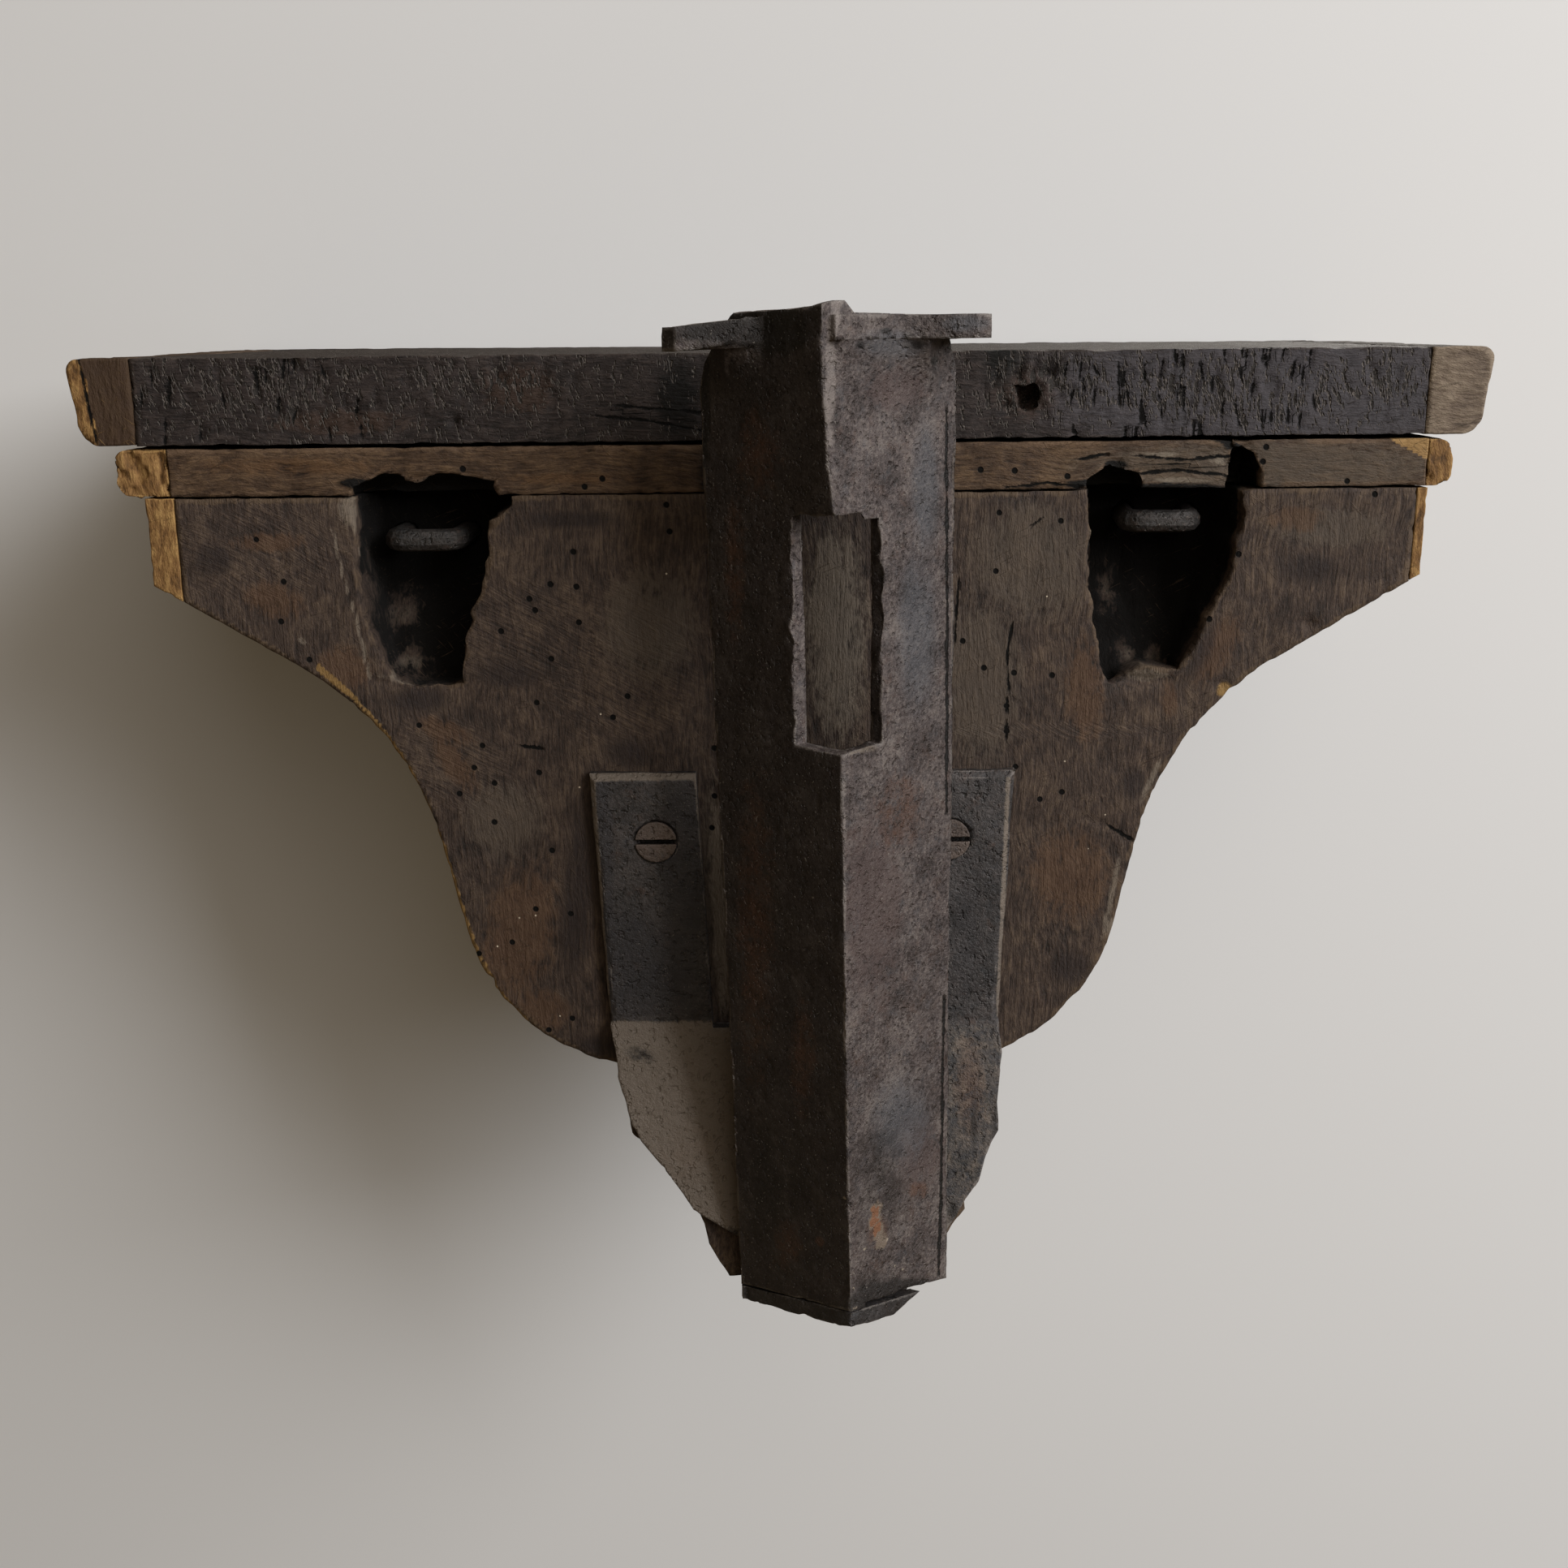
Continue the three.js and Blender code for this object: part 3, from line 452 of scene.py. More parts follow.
# %% Wrap and age the wood
WOOD_SQUARES = {"bracket_body": (0.92, 3.8), "shelf_board": (0.7, 3.5), "strip_board": (0.7, 3),
                "shelf_moulding_right": (0.8, 3), "shelf_moulding_left": (0.8, 3),
                "shelf_moulding_front": (1.2, 1), "strip_bead_right": (0.5, 3),
                "strip_bead_left": (0.5, 3), "strip_bead_front": (1.0, 1),
                "side_band_right": (0.5, 3), "side_band_left": (0.45, 3),
                "side_band_front": (0.9, 1), "tail_block": (0.8, 1)}
CRUMBLY = (0.2, 0.45, 0.8)


def close_joint(piece, side, axis=0, closing_mm=0.22, reach_mm=1.5):
    """Stretches the edge that meets the neighbour, to leave only a hairline: side is 1 where that
    edge is the piece's far end along the axis, X or 2 for Z, and -1 where it is the near one. The
    stretch fades out inwards."""
    points, _, _ = read(piece)
    inwards = (points[:, axis] * side).max() - points[:, axis] * side
    points[:, axis] += side * closing_mm * MM * np.clip(1 - inwards / (reach_mm * MM), 0, 1)
    write(piece, points)


def age_wood(piece, seed, waves=0.3, hollows=0.2, crumbs=0.4):
    """Waves 40 mm long, hollows of 6 mm, and crumbs of 2 mm and 8 mm out of the edges only: the
    crumb's depth grows with how far the point stands out."""
    points, normals, edges = read(piece)
    edge = np.clip(stands_out(points, normals, edges) * 9, 0, 1)
    loss = np.clip(random_field(points, 2.2, seed + 2), 0, 1)
    loss += 2.2 * np.clip(random_field(points, 8, seed + 3) - 0.45, 0, 1)
    depths = waves * np.clip(random_field(points, 40, seed), 0, 1)
    depths += hollows * np.clip(random_field(points, 6, seed + 1), 0, 1)
    push(piece, depths + crumbs * loss * edge)
    keep(piece, "rubbed", edge * (0.6 + 0.4 * random_field(points, 5, seed + 4)))


wood = {}
for number, (node, (square, squeeze)) in enumerate(WOOD_SQUARES.items()):
    wood[node] = skin(node, "worn_" + node, square, squeeze)
    if node.endswith("_right"):
        close_joint(wood[node], -1)
    if node.endswith("_left"):
        close_joint(wood[node], 1)
    age_wood(wood[node], 10 * number, *(CRUMBLY if node == "strip_bead_right" else ()))
print("wood:", {name: len(piece.data.polygons) for name, piece in wood.items()})

# %% [markdown]
# ## The body's own marks
#
# Three things give this block its face: a worm gallery that broke through as a dark crack, a
# scratch over the lower right, and the two pockets. All of them are places in the photograph, so
# they are written down as pixels. The pockets' ragged rims come from a sideways shift, and the
# rest is pushed in: torn spots, scratches, rough grain, and lumps of dirt in the pockets.

# %% Cut the body's marks
GALLERIES = [[(1247, 771), (1241, 803), (1243, 850)], [(1240, 862), (1241, 876)],
             [(1240, 893), (1240, 910)], [(643, 919), (666, 922)], [(1273, 647), (1281, 641)],
             [(1366, 1018), (1393, 1034)], [(1176, 790), (1181, 716)]]
SCRATCHES = [[(1337, 1007), (1366, 1018), (1393, 1034)], [(717, 828), (717, 868)],
             [(1278, 752), (1280, 768)], [(345, 678), (351, 700)]]
POCKET_RIMS = [[(435, 620), (448, 700), (456, 780), (480, 838), (568, 838)],
               [(612, 622), (600, 680), (584, 740), (568, 800)],
               [(1343, 600), (1345, 690), (1352, 792), (1363, 836), (1450, 830)],
               [(1531, 600), (1520, 660), (1508, 700), (1480, 770), (1454, 822)]]
BODY_TEARS = [(1612, 772, 12, 8, -30), (608, 1212, 10, 14, 30), (1400, 838, 40, 8, 0),
              (500, 838, 46, 6, 0), (1508, 848, 12, 8, -30)]
ROUGH_GRAIN = [(1620, 680, 120, 90, 0), (1430, 900, 90, 120, 0), (640, 1180, 80, 110, 0),
               (1300, 1080, 90, 130, 0), (1250, 700, 90, 90, 0)]
POCKETS_U = ((430, 640), (1340, 1530))
POCKETS_END_V = 850


def seen_points(piece, deepest_mm=-40):
    """A piece's points and normals, the pixels that show them, and 1 for the ones on the back."""
    points, normals, _ = read(piece)
    return points, normals, photo_pixels(points), on_back(points, normals, deepest_mm)


body = wood["bracket_body"]
points, normals, pixels, seen = seen_points(body)
warp(body, lines(pixels, POCKET_RIMS, 13) * seen, 1.0, 3.5, 300)
points, normals, pixels, seen = seen_points(body)
ridges = np.clip(random_field(points, (1.1, 30, 14), 70), 0, 1) * seen
deep = rising(-points[:, 1] / MM, 1.0, 6) * seen
in_pocket = (pixels[:, 1] < POCKETS_END_V) & np.any(
    [(pixels[:, 0] > first) & (pixels[:, 0] < last) for first, last in POCKETS_U], axis=0)
lumps = np.clip(random_field(points, 5, 72) + 0.5 * random_field(points, 2, 73), 0, 1)
crumbled = np.clip(random_field(points, 3, 71) + 0.5, 0, 1)
push(body, 0.5 * lines(pixels, SCRATCHES, 3) * seen + 0.3 * ridges * ovals(pixels, ROUGH_GRAIN)
     + 1.4 * lumps * deep * in_pocket + 1.8 * ovals(pixels, BODY_TEARS) * seen * crumbled)
print("body: points in the pockets", int(in_pocket.sum()))

# %% [markdown]
# ## The body's stains
#
# A stain has a place but no shape of its own, so it is not pushed in. It is stored as a number on
# the points, and the material reads it: soot where it is dark, and a painted shadow along the left
# leg; warm where hands rubbed the stain through; pale where it is scraped or freshly torn, and
# painted light on the pocket walls that face the window, beside the left leg and on the wood seen
# through the channel's slot; dust for a grey film, and painted light beside the left leg; bare
# along the worn arris, and brushed where tools went across the grain. Black is painted shade in
# the pockets: it grows with their depth and is thinner on the walls that face the window.

# %% Stain the body
BARE_ARRIS = [(392, 822), (432, 856), (470, 898), (504, 950), (528, 1000), (548, 1052), (566, 1110),
              (584, 1165), (612, 1222), (650, 1262)]
BARE_CHIP = [(1508, 850, 12, 9, -30)]
POCKET_ARRIS = [[(409, 650), (420, 700), (436, 752), (448, 800), (455, 836)],
                [(436, 640), (446, 690), (456, 740), (470, 790), (492, 834)]]
# Soot ovals hold dark stains, and one painted shadow along the left leg's left side, at (712,
# 1100).
BODY_SOOT_AND_SHADOW = [(626, 833, 62, 22, 0), (775, 928, 45, 26, 10), (515, 862, 52, 22, 0),
             (1396, 965, 22, 30, 0), (1318, 1192, 38, 32, 0), (1612, 700, 60, 26, 0),
             (712, 1100, 30, 170, 5), (1480, 800, 20, 50, 20), (600, 1240, 60, 30, 40),
             (700, 640, 90, 16, 0), (262, 690, 34, 30, 0), (735, 1290, 36, 22, 0)]
BODY_WARM = [(424, 823, 44, 34, 30), (548, 900, 46, 18, 20), (640, 1150, 60, 110, 12),
             (670, 1245, 44, 34, 30), (338, 740, 50, 30, 10), (1337, 848, 32, 84, 0),
             (1318, 1080, 66, 74, 0), (1441, 860, 14, 30, 0), (1600, 640, 46, 20, 0),
             (330, 668, 60, 16, 0), (1500, 800, 26, 60, 30), (560, 940, 20, 60, -35)]
# Pale ovals hold scraped spots, and painted light beside the left leg and through the channel's
# slot.
BODY_PALE = [(1351, 731, 9, 24, -25), (1384, 808, 22, 32, -30), (1410, 833, 36, 9, 0),
             (432, 626, 18, 28, 0), (500, 838, 44, 6, 10), (886, 1110, 13, 190, -3),
             (1030, 775, 50, 170, 0), (1418, 962, 5, 40, 25), (1366, 1140, 9, 16, 0),
             (470, 905, 14, 8, 50), (372, 790, 9, 5, 30), (1346, 660, 3, 60, 0),
             (1370, 1100, 5, 70, 12)]
# Dust ovals hold a grey film, and painted light beside the left leg at (880, 1110).
BODY_DUST_AND_LIGHT = [(800, 770, 70, 84, 0), (1270, 690, 90, 90, 0), (1210, 840, 60, 130, 0),
             (620, 1010, 60, 60, 0), (1640, 650, 90, 30, 0), (880, 1110, 16, 170, -3),
             (500, 756, 34, 40, 0), (1362, 706, 20, 36, 0), (1400, 806, 50, 30, 0)]
BODY_BRUSHED = [(310, 680, 130, 70, 0), (640, 780, 150, 70, 5), (760, 820, 110, 110, 20),
                (560, 940, 90, 60, 30), (1300, 900, 160, 12, 0)]
LIT_WALLS = [(500, 756, 34, 46, 0), (505, 812, 50, 30, 20), (1366, 716, 22, 50, 0),
             (1404, 806, 52, 34, 0), (452, 700, 16, 90, -12)]
# Painted light: these pocket walls face the window and are made paler.
LOW_WALLS = [(1394, 806, 46, 32, 0), (1362, 720, 12, 50, 0), (505, 816, 44, 18, 0),
             (480, 760, 18, 40, 0)]

broken_light = (0.8 + 0.6 * random_field(points, (4, 6, 7), 74)
                + 0.4 * random_field(points, 2, 75))
lit = ovals(pixels, LIT_WALLS) * np.clip(broken_light, 0, 1)
# Painted shade: the pockets turn black with depth, less so on the walls that face the window.
pocket_shade = np.where(in_pocket, deep * (1 - 0.62 * lit), 0)
scraped_and_painted_light = np.maximum(ovals(pixels, BODY_PALE), lines(pixels, POCKET_ARRIS, 3))
worn_bare = np.maximum(lines(pixels, [BARE_ARRIS], 4), ovals(pixels, BARE_CHIP))
# soot: dark stains, and the painted shadow beside the left leg.
keep(body, "soot", ovals(pixels, BODY_SOOT_AND_SHADOW) * 0.7 * seen)
keep(body, "black", pocket_shade)
keep(body, "warm", ovals(pixels, BODY_WARM) * 0.8 * seen * (1 - pocket_shade))
# pale: scraped spots, and painted light on the lit pocket walls, beside the left leg and through
# the slot.
keep(body, "pale", np.maximum(scraped_and_painted_light * seen * (1 - 0.8 * deep) * 0.8,
                              0.5 * ovals(pixels, LOW_WALLS) * seen))
# dust: a grey film, and painted light beside the left leg.
keep(body, "dust", ovals(pixels, BODY_DUST_AND_LIGHT) * 0.9 * seen * (1 - pocket_shade))
keep(body, "bare", worn_bare * seen)
keep_lines(body, pixels, GALLERIES, seen)
keep(body, "brushed", ovals(pixels, BODY_BRUSHED) * seen)
print("body: points under thick dirt", int((pocket_shade > 0.5).sum()))

# %% [markdown]
# ## The shelf's marks
#
# The shelf's back edge was never planed. A coarse tool tore it: short upright gouges, thick at the
# left and over the whole right half. Something broke a hole into it right of the middle, and a
# long crack runs in from the channel. The gouges are many and alike, so dice place them inside
# areas that the photograph gives, and the same short lines cut the net and darken the colour.

# %% Mark the shelf
TORN = [(330, 478, 170, 46, 0), (600, 470, 120, 30, 0), (1290, 470, 120, 40, 0),
        (1480, 480, 170, 46, 0), (1700, 470, 60, 30, 0)]
SHELF_DENTS = [(1265, 490, 9, 11, 0), (1291, 460, 16, 7, 0), (1255, 462, 6, 10, 0),
               (1240, 500, 8, 7, 0), (560, 520, 7, 6, 0)]
SHELF_CRACKS = [[(728, 512), (790, 517), (862, 530)], [(760, 500), (862, 508)]]
AROUND_HOLE = [(1275, 478, 42, 34, 0)]
HOLE_RIM = [(1265, 490, 24, 26, 0)]
SHADOW_SIDES = [(835, 490, 36, 70, 0), (1235, 440, 30, 50, 0)]
SHELF_WARM = [(420, 520, 110, 20, 0), (640, 480, 60, 40, 0), (1262, 484, 50, 44, 0)]
SHELF_DUST = [(1560, 480, 330, 90, 0)]
slit_dice = np.random.default_rng(11)


def slits(count, u_range, v_range, lean):
    """Short upright slits at random: each has its middle, its length and its lean by dice."""
    u, v = slit_dice.uniform(*u_range, count), slit_dice.uniform(*v_range, count)
    high = slit_dice.uniform(4, 9, count)
    wide = high * np.tan(slit_dice.normal(0, lean, count))
    return [[(u[i] - wide[i], v[i] - high[i]), (u[i] + wide[i], v[i] + high[i])]
            for i in range(count)]


shelf = wood["shelf_board"]
points, normals, pixels, seen = seen_points(shelf, -6)
gouge = np.clip(random_field(points, (1.5, 30, 3.6), 80) * 4 - 1.2, 0, 1)
torn = ovals(pixels, TORN) * seen
dents = ovals(pixels, SHELF_DENTS) * seen
rough_hole = ovals(pixels, AROUND_HOLE) * np.clip(random_field(points, 2.4, 83), 0, 1) * seen
push(shelf, 0.7 * gouge * torn + 1.7 * dents + 0.9 * rough_hole)
warp(shelf, ovals(pixels, HOLE_RIM) * seen, 1.3, 2.6, 310)
tool_slits = (slits(20, (165, 460), (442, 545), 0.2) + slits(46, (1370, 1620), (428, 540), 0.12)
              + slits(8, (1300, 1370), (440, 540), 0.3))
push(shelf, 0.5 * lines(pixels, tool_slits, 3) * seen)
# soot: painted shadow beside the channel and its ear, and painted shade in the dents.
keep(shelf, "soot", np.maximum(ovals(pixels, SHADOW_SIDES) * 0.8, dents * 0.6) * seen)
keep(shelf, "torn", torn)
keep_lines(shelf, pixels, SHELF_CRACKS + tool_slits, seen)
keep(shelf, "warm", ovals(pixels, SHELF_WARM) * seen * 0.8)
keep(shelf, "dust", ovals(pixels, SHELF_DUST) * seen)
print("shelf: gouged points", int((gouge * torn > 0.5).sum()), "slits", len(tool_slits))

# %% [markdown]
# ## The cut ends
#
# The mouldings and the beads stop at the back, so there we see their cut ends. The beads' ends
# have crumbled. On the mouldings' ends the old stain is worn off: on one it is left on the inner
# side of a crack, and beyond the crack the wood is bare.

# %% Mark the beads and the mouldings
CRACK_LINE = [(96, 440), (104, 475), (110, 505), (119, 545)]
END_SOOT = [(1800, 524, 30, 6, 0)]
for name in ("strip_bead_right", "strip_bead_left"):
    points, _, _, seen = seen_points(wood[name], -3)
    crumbling = np.clip(random_field(points, 1.7, 85) * 2.4 - 0.4, 0, 1)
    push(wood[name], 0.8 * crumbling * seen)

for name in ("shelf_moulding_right", "shelf_moulding_left"):
    points, normals, pixels, seen = seen_points(wood[name], -3)
    stained = 1 - np.clip(normals[:, 1] * 3 - 0.9, 0, 1) * seen
    if name == "shelf_moulding_right":
        crack_u = np.interp(pixels[:, 1], [v for _, v in CRACK_LINE], [u for u, _ in CRACK_LINE])
        inner = rising(pixels[:, 0] + 4 * random_field(points, 3, 82), crack_u, 3)
        stained = np.maximum(inner, stained)
        keep_lines(wood[name], pixels, [CRACK_LINE], seen)
    else:
        keep(wood[name], "soot", ovals(pixels, END_SOOT) * seen * 0.5)
    keep(wood[name], "stain", stained)
    print(name, "bare points:", int((stained < 0.5).sum()))

# %% [markdown]
# ## The strip's marks
#
# Over one pocket two bites are broken out of the strip, with a splinter between them that leans
# over. Inside the bites, and wherever the strip is pushed deep, painted shade darkens it. Along
# both pockets its lower edge is frayed and sooty, and a wedge of bare wood shows at its far end.
# The bites are in the measured model. Here their rims turn ragged, the splinter is shifted
# sideways, and long thin lumps of chance make the torn fibres.

# %% Mark the strip
BURNT = [(480, 604, 44, 12, 0), (560, 600, 60, 15, 0), (1378, 580, 17, 18, 0),
         (1528, 572, 13, 30, 0), (1430, 603, 90, 9, 0), (880, 580, 22, 40, 0),
         (1502, 548, 22, 9, 10), (1340, 596, 30, 6, 0), (440, 596, 26, 8, 0)]
STRIP_TEARS = [(1524, 568, 15, 26, 0), (1376, 572, 12, 14, 0)]
RAGGED_RIMS = [(1378, 578, 30, 26, 0), (1527, 572, 40, 40, 0), (480, 602, 60, 14, 0),
               (600, 602, 60, 14, 0)]
TORN_FIBRES = [(1450, 574, 66, 26, 0), (520, 592, 100, 12, 0)]
STRIP_PALE = [(1480, 566, 16, 15, 0), (1420, 560, 34, 5, 0), (1440, 592, 44, 5, 0)]
STRIP_WARM = [(360, 575, 160, 16, 0), (700, 590, 120, 10, 0)]
STRIP_DUST = [(1560, 575, 260, 40, 0)]
STRIP_CRACKS = [[(1240, 600), (1290, 595), (1330, 600)], [(1395, 584), (1440, 580), (1500, 587)],
                [(1400, 563), (1450, 567), (1505, 560)], [(1330, 566), (1362, 560)]]
WEDGE_V, WEDGE_U = (534, 544, 556, 568, 600), (1706, 1714, 1738, 1758, 1757)
SPLINTER_SHIFT = 4.4 * MM

strip = wood["strip_board"]
points, normals, pixels, seen = seen_points(strip, -12)
u, v = pixels.T
# How deep a point lies below the back: there the soot layer is painted shade.
deep = rising(-points[:, 1] / MM, 0.8, 4) * seen
warp(strip, ovals(pixels, RAGGED_RIMS) * seen, 1.3, 3.0, 320)
points, _, _ = read(strip)
splinter = rising(u, 1390, 90) * rising(-u, -1518, 8) * rising(v, 538, 10)
points[:, 0] -= SPLINTER_SHIFT * splinter
write(strip, points)
points, _, _ = read(strip)
fibres = np.clip(random_field(points, (9, 30, 1.4), 91) * 2, 0, 1) * ovals(pixels, TORN_FIBRES)
crumbled = np.clip(random_field(points, 3, 90) + 0.6, 0, 1)
push(strip, 1.8 * ovals(pixels, STRIP_TEARS) * seen * crumbled + 0.9 * fibres * seen)
burnt = ovals(pixels, BURNT) * seen
# soot: burnt spots, and painted shade that grows with depth in the bites.
keep(strip, "soot", np.maximum(burnt, 0.9 * deep))
keep(strip, "pale", ovals(pixels, STRIP_PALE) * seen * (1 - deep) * 0.65)
keep(strip, "warm", ovals(pixels, STRIP_WARM) * seen * 0.7)
keep(strip, "dust", ovals(pixels, STRIP_DUST) * seen)
keep(strip, "bare", rising(u, np.interp(v, WEDGE_V, WEDGE_U), 4) * seen)
keep_lines(strip, pixels, STRIP_CRACKS, seen)
print("strip: burnt points", int((burnt > 0.5).sum()))

# %% [markdown]
# ## Iron pieces
#
# Wrought iron is hammered hot, so its faces are never flat, and rust eats it in small pits. The
# channel, the yoke, the staples and the screws are wrapped more finely than the wood, because
# they are thin.

# %% Wrap and age the iron
IRON_SQUARES = {"corner_channel": 0.74, "iron_yoke": 0.56, "hanging_staple_right": 0.26,
                "hanging_staple_left": 0.26, "yoke_screw_right": 0.21, "yoke_screw_left": 0.21}
SMALL_IRON_WEAR = (0.06, 0.05, 0.1)


def age_iron(piece, seed, hammer=0.35, pits=0.2, nicks=0.6):
    """Hammer marks 14 mm wide, pits of 1.8 mm, and nicks of 4 mm out of the edges."""
    points, normals, edges = read(piece)
    edge = np.clip(stands_out(points, normals, edges) * 12, 0, 1)
    loss = np.clip(random_field(points, 4, seed + 2) - 0.05, 0, 1)
    depths = hammer * np.clip(random_field(points, 14, seed), 0, 1)
    depths += pits * np.clip(random_field(points, 1.8, seed + 1) * 2.4 - 1.0, 0, 1)
    push(piece, depths + nicks * loss * edge)
    keep(piece, "rubbed", edge * (0.6 + 0.4 * random_field(points, 4, seed + 4)))


iron = {}
for number, (node, square) in enumerate(IRON_SQUARES.items()):
    iron[node] = skin(node, "worn_" + node, square)
    small = "screw" in node or "staple" in node
    age_iron(iron[node], 200 + 10 * number, *(SMALL_IRON_WEAR if small else ()))
print("iron:", {name: len(piece.data.polygons) for name, piece in iron.items()})

# %% [markdown]
# ## The channel's shape
#
# The ears at the channel's top are one with its sides, so the face runs up to them in a hollow
# curve. The measured model has a corner there, and the curve fills it. The slot's rims are
# ragged, and the foot is stretched down to the yoke's floor, to leave only a hairline.

# %% Shape the channel
SLOT_RIMS = [[(975, 630), (975, 905), (1040, 922), (1086, 905), (1083, 635)],
             [(975, 630), (1083, 635)]]
COLUMN = 6
LEDGE_ROWS = 7


def hollow_curve(piece, share, top_v, bottom_v, ledge_v):
    """Fills the corner under a ledge with a hollow curve. The ledge's own y is read off in columns
    of COLUMN pixels, at the row ledge_v. From the row bottom_v up to top_v a point on the outer
    side goes over to it with the square of its way there."""
    points, normals, _ = read(piece)
    u, v = photo_pixels(points).T
    ledge = (np.abs(v - ledge_v) < LEDGE_ROWS) & (normals[:, 1] > 0.2)
    tallest = np.full(PHOTO_SIDE // COLUMN + 1, -1.0)
    np.maximum.at(tallest, (u[ledge] // COLUMN).astype(int), points[ledge, 1])
    known = np.flatnonzero(tallest > -1)
    ledge_y = np.interp(u, (known + 0.5) * COLUMN, tallest[known])
    way = rising(-v, -bottom_v, bottom_v - top_v)
    below = (normals[:, 1] > -0.5) & (v > top_v - 3)
    points[:, 1] += (ledge_y - points[:, 1]).clip(0) * way ** 2 * share * below
    write(piece, points)


channel = iron["corner_channel"]
points, normals, pixels, _ = seen_points(channel)
u, v = pixels.T
outward = np.clip(normals[:, 1] * 4, 0, 1)
right_root = rising(u, 1024, 14) * rising(-u, -1158, 16)
left_root = rising(u, 872, 20) * rising(-u, -1018, 10)
hollow_curve(channel, right_root, 414, 500, 402)
hollow_curve(channel, left_root, 417, 500, 406)
warp(channel, lines(pixels, SLOT_RIMS, 9) * outward, 0.6, 3.0, 330)
points, normals, _ = read(channel)
close_joint(channel, -1, axis=2)
print("channel: points near the right ear", int((right_root > 0.5).sum()))

# %% [markdown]
# ## Rust, bloom and dust on the channel
#
# The channel's lit face turns from blue-grey scale at the top to purplish rust below, with a
# small patch of orange rust and a ring of pale crust near its foot. At the top, where the face
# curls over, part of the blue-grey is a painted sheen of sky light. The blunt ridge of the V is
# rubbed light. The side away from the window, the left ear and the V's upper left edge are
# darkened with painted shade. The large areas are stored on the points. The small patches are
# finer than the net, so their places go to the material.

# %% Mark the channel
RIDGE_TOP = [[(1032, 372), (1022, 440), (1022, 545)]]
RIDGE_FOOT = [[(1040, 635), (1041, 1300), (1049, 1620)]]
SEAMS = [[(1166, 505), (1167, 760), (1166, 1000)], [(1163, 1230), (1159, 1480), (1156, 1570)]]
CHANNEL_RUST = [(1011, 1530, 7, 8, 0), (1132, 1466, 16, 14, 0), (1081, 1517, 17, 30, 0)]
CHANNEL_BROWN = [(930, 1150, 40, 300, 0), (935, 560, 45, 90, 0), (1110, 1000, 50, 80, 0),
                 (970, 1530, 30, 50, 0), (905, 700, 24, 160, 0), (990, 1300, 26, 120, 0)]
# Bloom ovals: blue-grey scale lower down; the two at the top are a painted sheen of sky light on
# the curve.
CHANNEL_BLOOM_AND_SHEEN = [(1098, 424, 60, 26, 0), (1130, 780, 36, 140, 0), (1190, 398, 40, 16, 0),
                 (1110, 1380, 50, 80, 0), (1140, 600, 24, 120, 0)]
CHANNEL_PLUM = [(1100, 480, 50, 34, 0), (1075, 1120, 50, 160, 0), (1130, 1420, 40, 60, 0)]
# Soot ovals: small dark stains, and painted shade over the left ear and the V's upper left edge.
CHANNEL_SOOT_AND_SHADE = [(1060, 425, 7, 6, 0), (1092, 408, 10, 5, 0), (1128, 424, 9, 7, 0),
                (1150, 445, 6, 8, 0), (868, 500, 9, 120, 0), (1100, 1596, 50, 13, -14),
                (960, 1612, 70, 14, 8), (885, 402, 80, 30, 0), (950, 404, 64, 44, 0)]
CHANNEL_GREY = [(950, 1450, 90, 130, 0), (1085, 1450, 60, 150, 0), (1080, 1590, 70, 40, 0)]
CHANNEL_DUST = [(1040, 922, 44, 8, 0), (1176, 900, 5, 400, 0)]


def landing(piece, places):
    """The places on a piece that the photograph shows at some pixels: each takes the depth of the
    nearest point of the net that looks back."""
    points, normals, _ = read(piece)
    pixels = photo_pixels(points) + np.where(normals[:, 1:2] > 0.1, 0, 1e6)
    nearest = [np.hypot(*(pixels - place).T).argmin() for place in places]
    return [seen_at(*place, points[index, 1] / MM) for place, index in zip(places, nearest)]


# Painted shade: faces turned to picture left, away from the window, are darkened.
painted_shade_side = np.clip(normals[:, 0] * 3 - 0.6, 0, 1) * outward
lit_side = outward * (1 - painted_shade_side)
ridge = np.maximum(lines(pixels, RIDGE_TOP, 9), 0.8 * lines(pixels, RIDGE_FOOT, 3))
keep_lines(channel, pixels, SEAMS, outward)
keep(channel, "painted_shade_side", 0.68 * painted_shade_side)
keep(channel, "rust", outward * (0.8 * ovals(pixels, CHANNEL_RUST)
                                 + 0.55 * ovals(pixels, CHANNEL_BROWN)))
keep(channel, "ridge", outward * (0.75 + 0.4 * random_field(points, 4, 340)) * ridge)
# bloom: blue-grey scale, with a painted sheen at the curved top.
keep(channel, "bloom", lit_side * ovals(pixels, CHANNEL_BLOOM_AND_SHEEN) * 0.72)
keep(channel, "plum", lit_side * ovals(pixels, CHANNEL_PLUM) * 0.8)
# soot: dark stains, and painted shade on the left ear and edge.
keep(channel, "soot", outward * (0.9 * ovals(pixels, CHANNEL_SOOT_AND_SHADE)
                                 + 0.5 * ovals(pixels, CHANNEL_GREY)))
keep(channel, "dust", outward * ovals(pixels, CHANNEL_DUST))
fresh_rust = landing(channel, [(1079, 1492), (1078, 1504), (1081, 1515)])
crust_ring = landing(channel, [(1080, 1490), (1078, 1504), (1083, 1518), (1086, 1530)])
crust = landing(channel, [(1099, 1546), (1104, 1556), (1053, 1610), (1042, 1480), (1051, 1590),
                          (1066, 1540), (1092, 1528), (1040, 1440), (1112, 1566)])
print("channel: fresh rust at", fresh_rust[0].round(4))

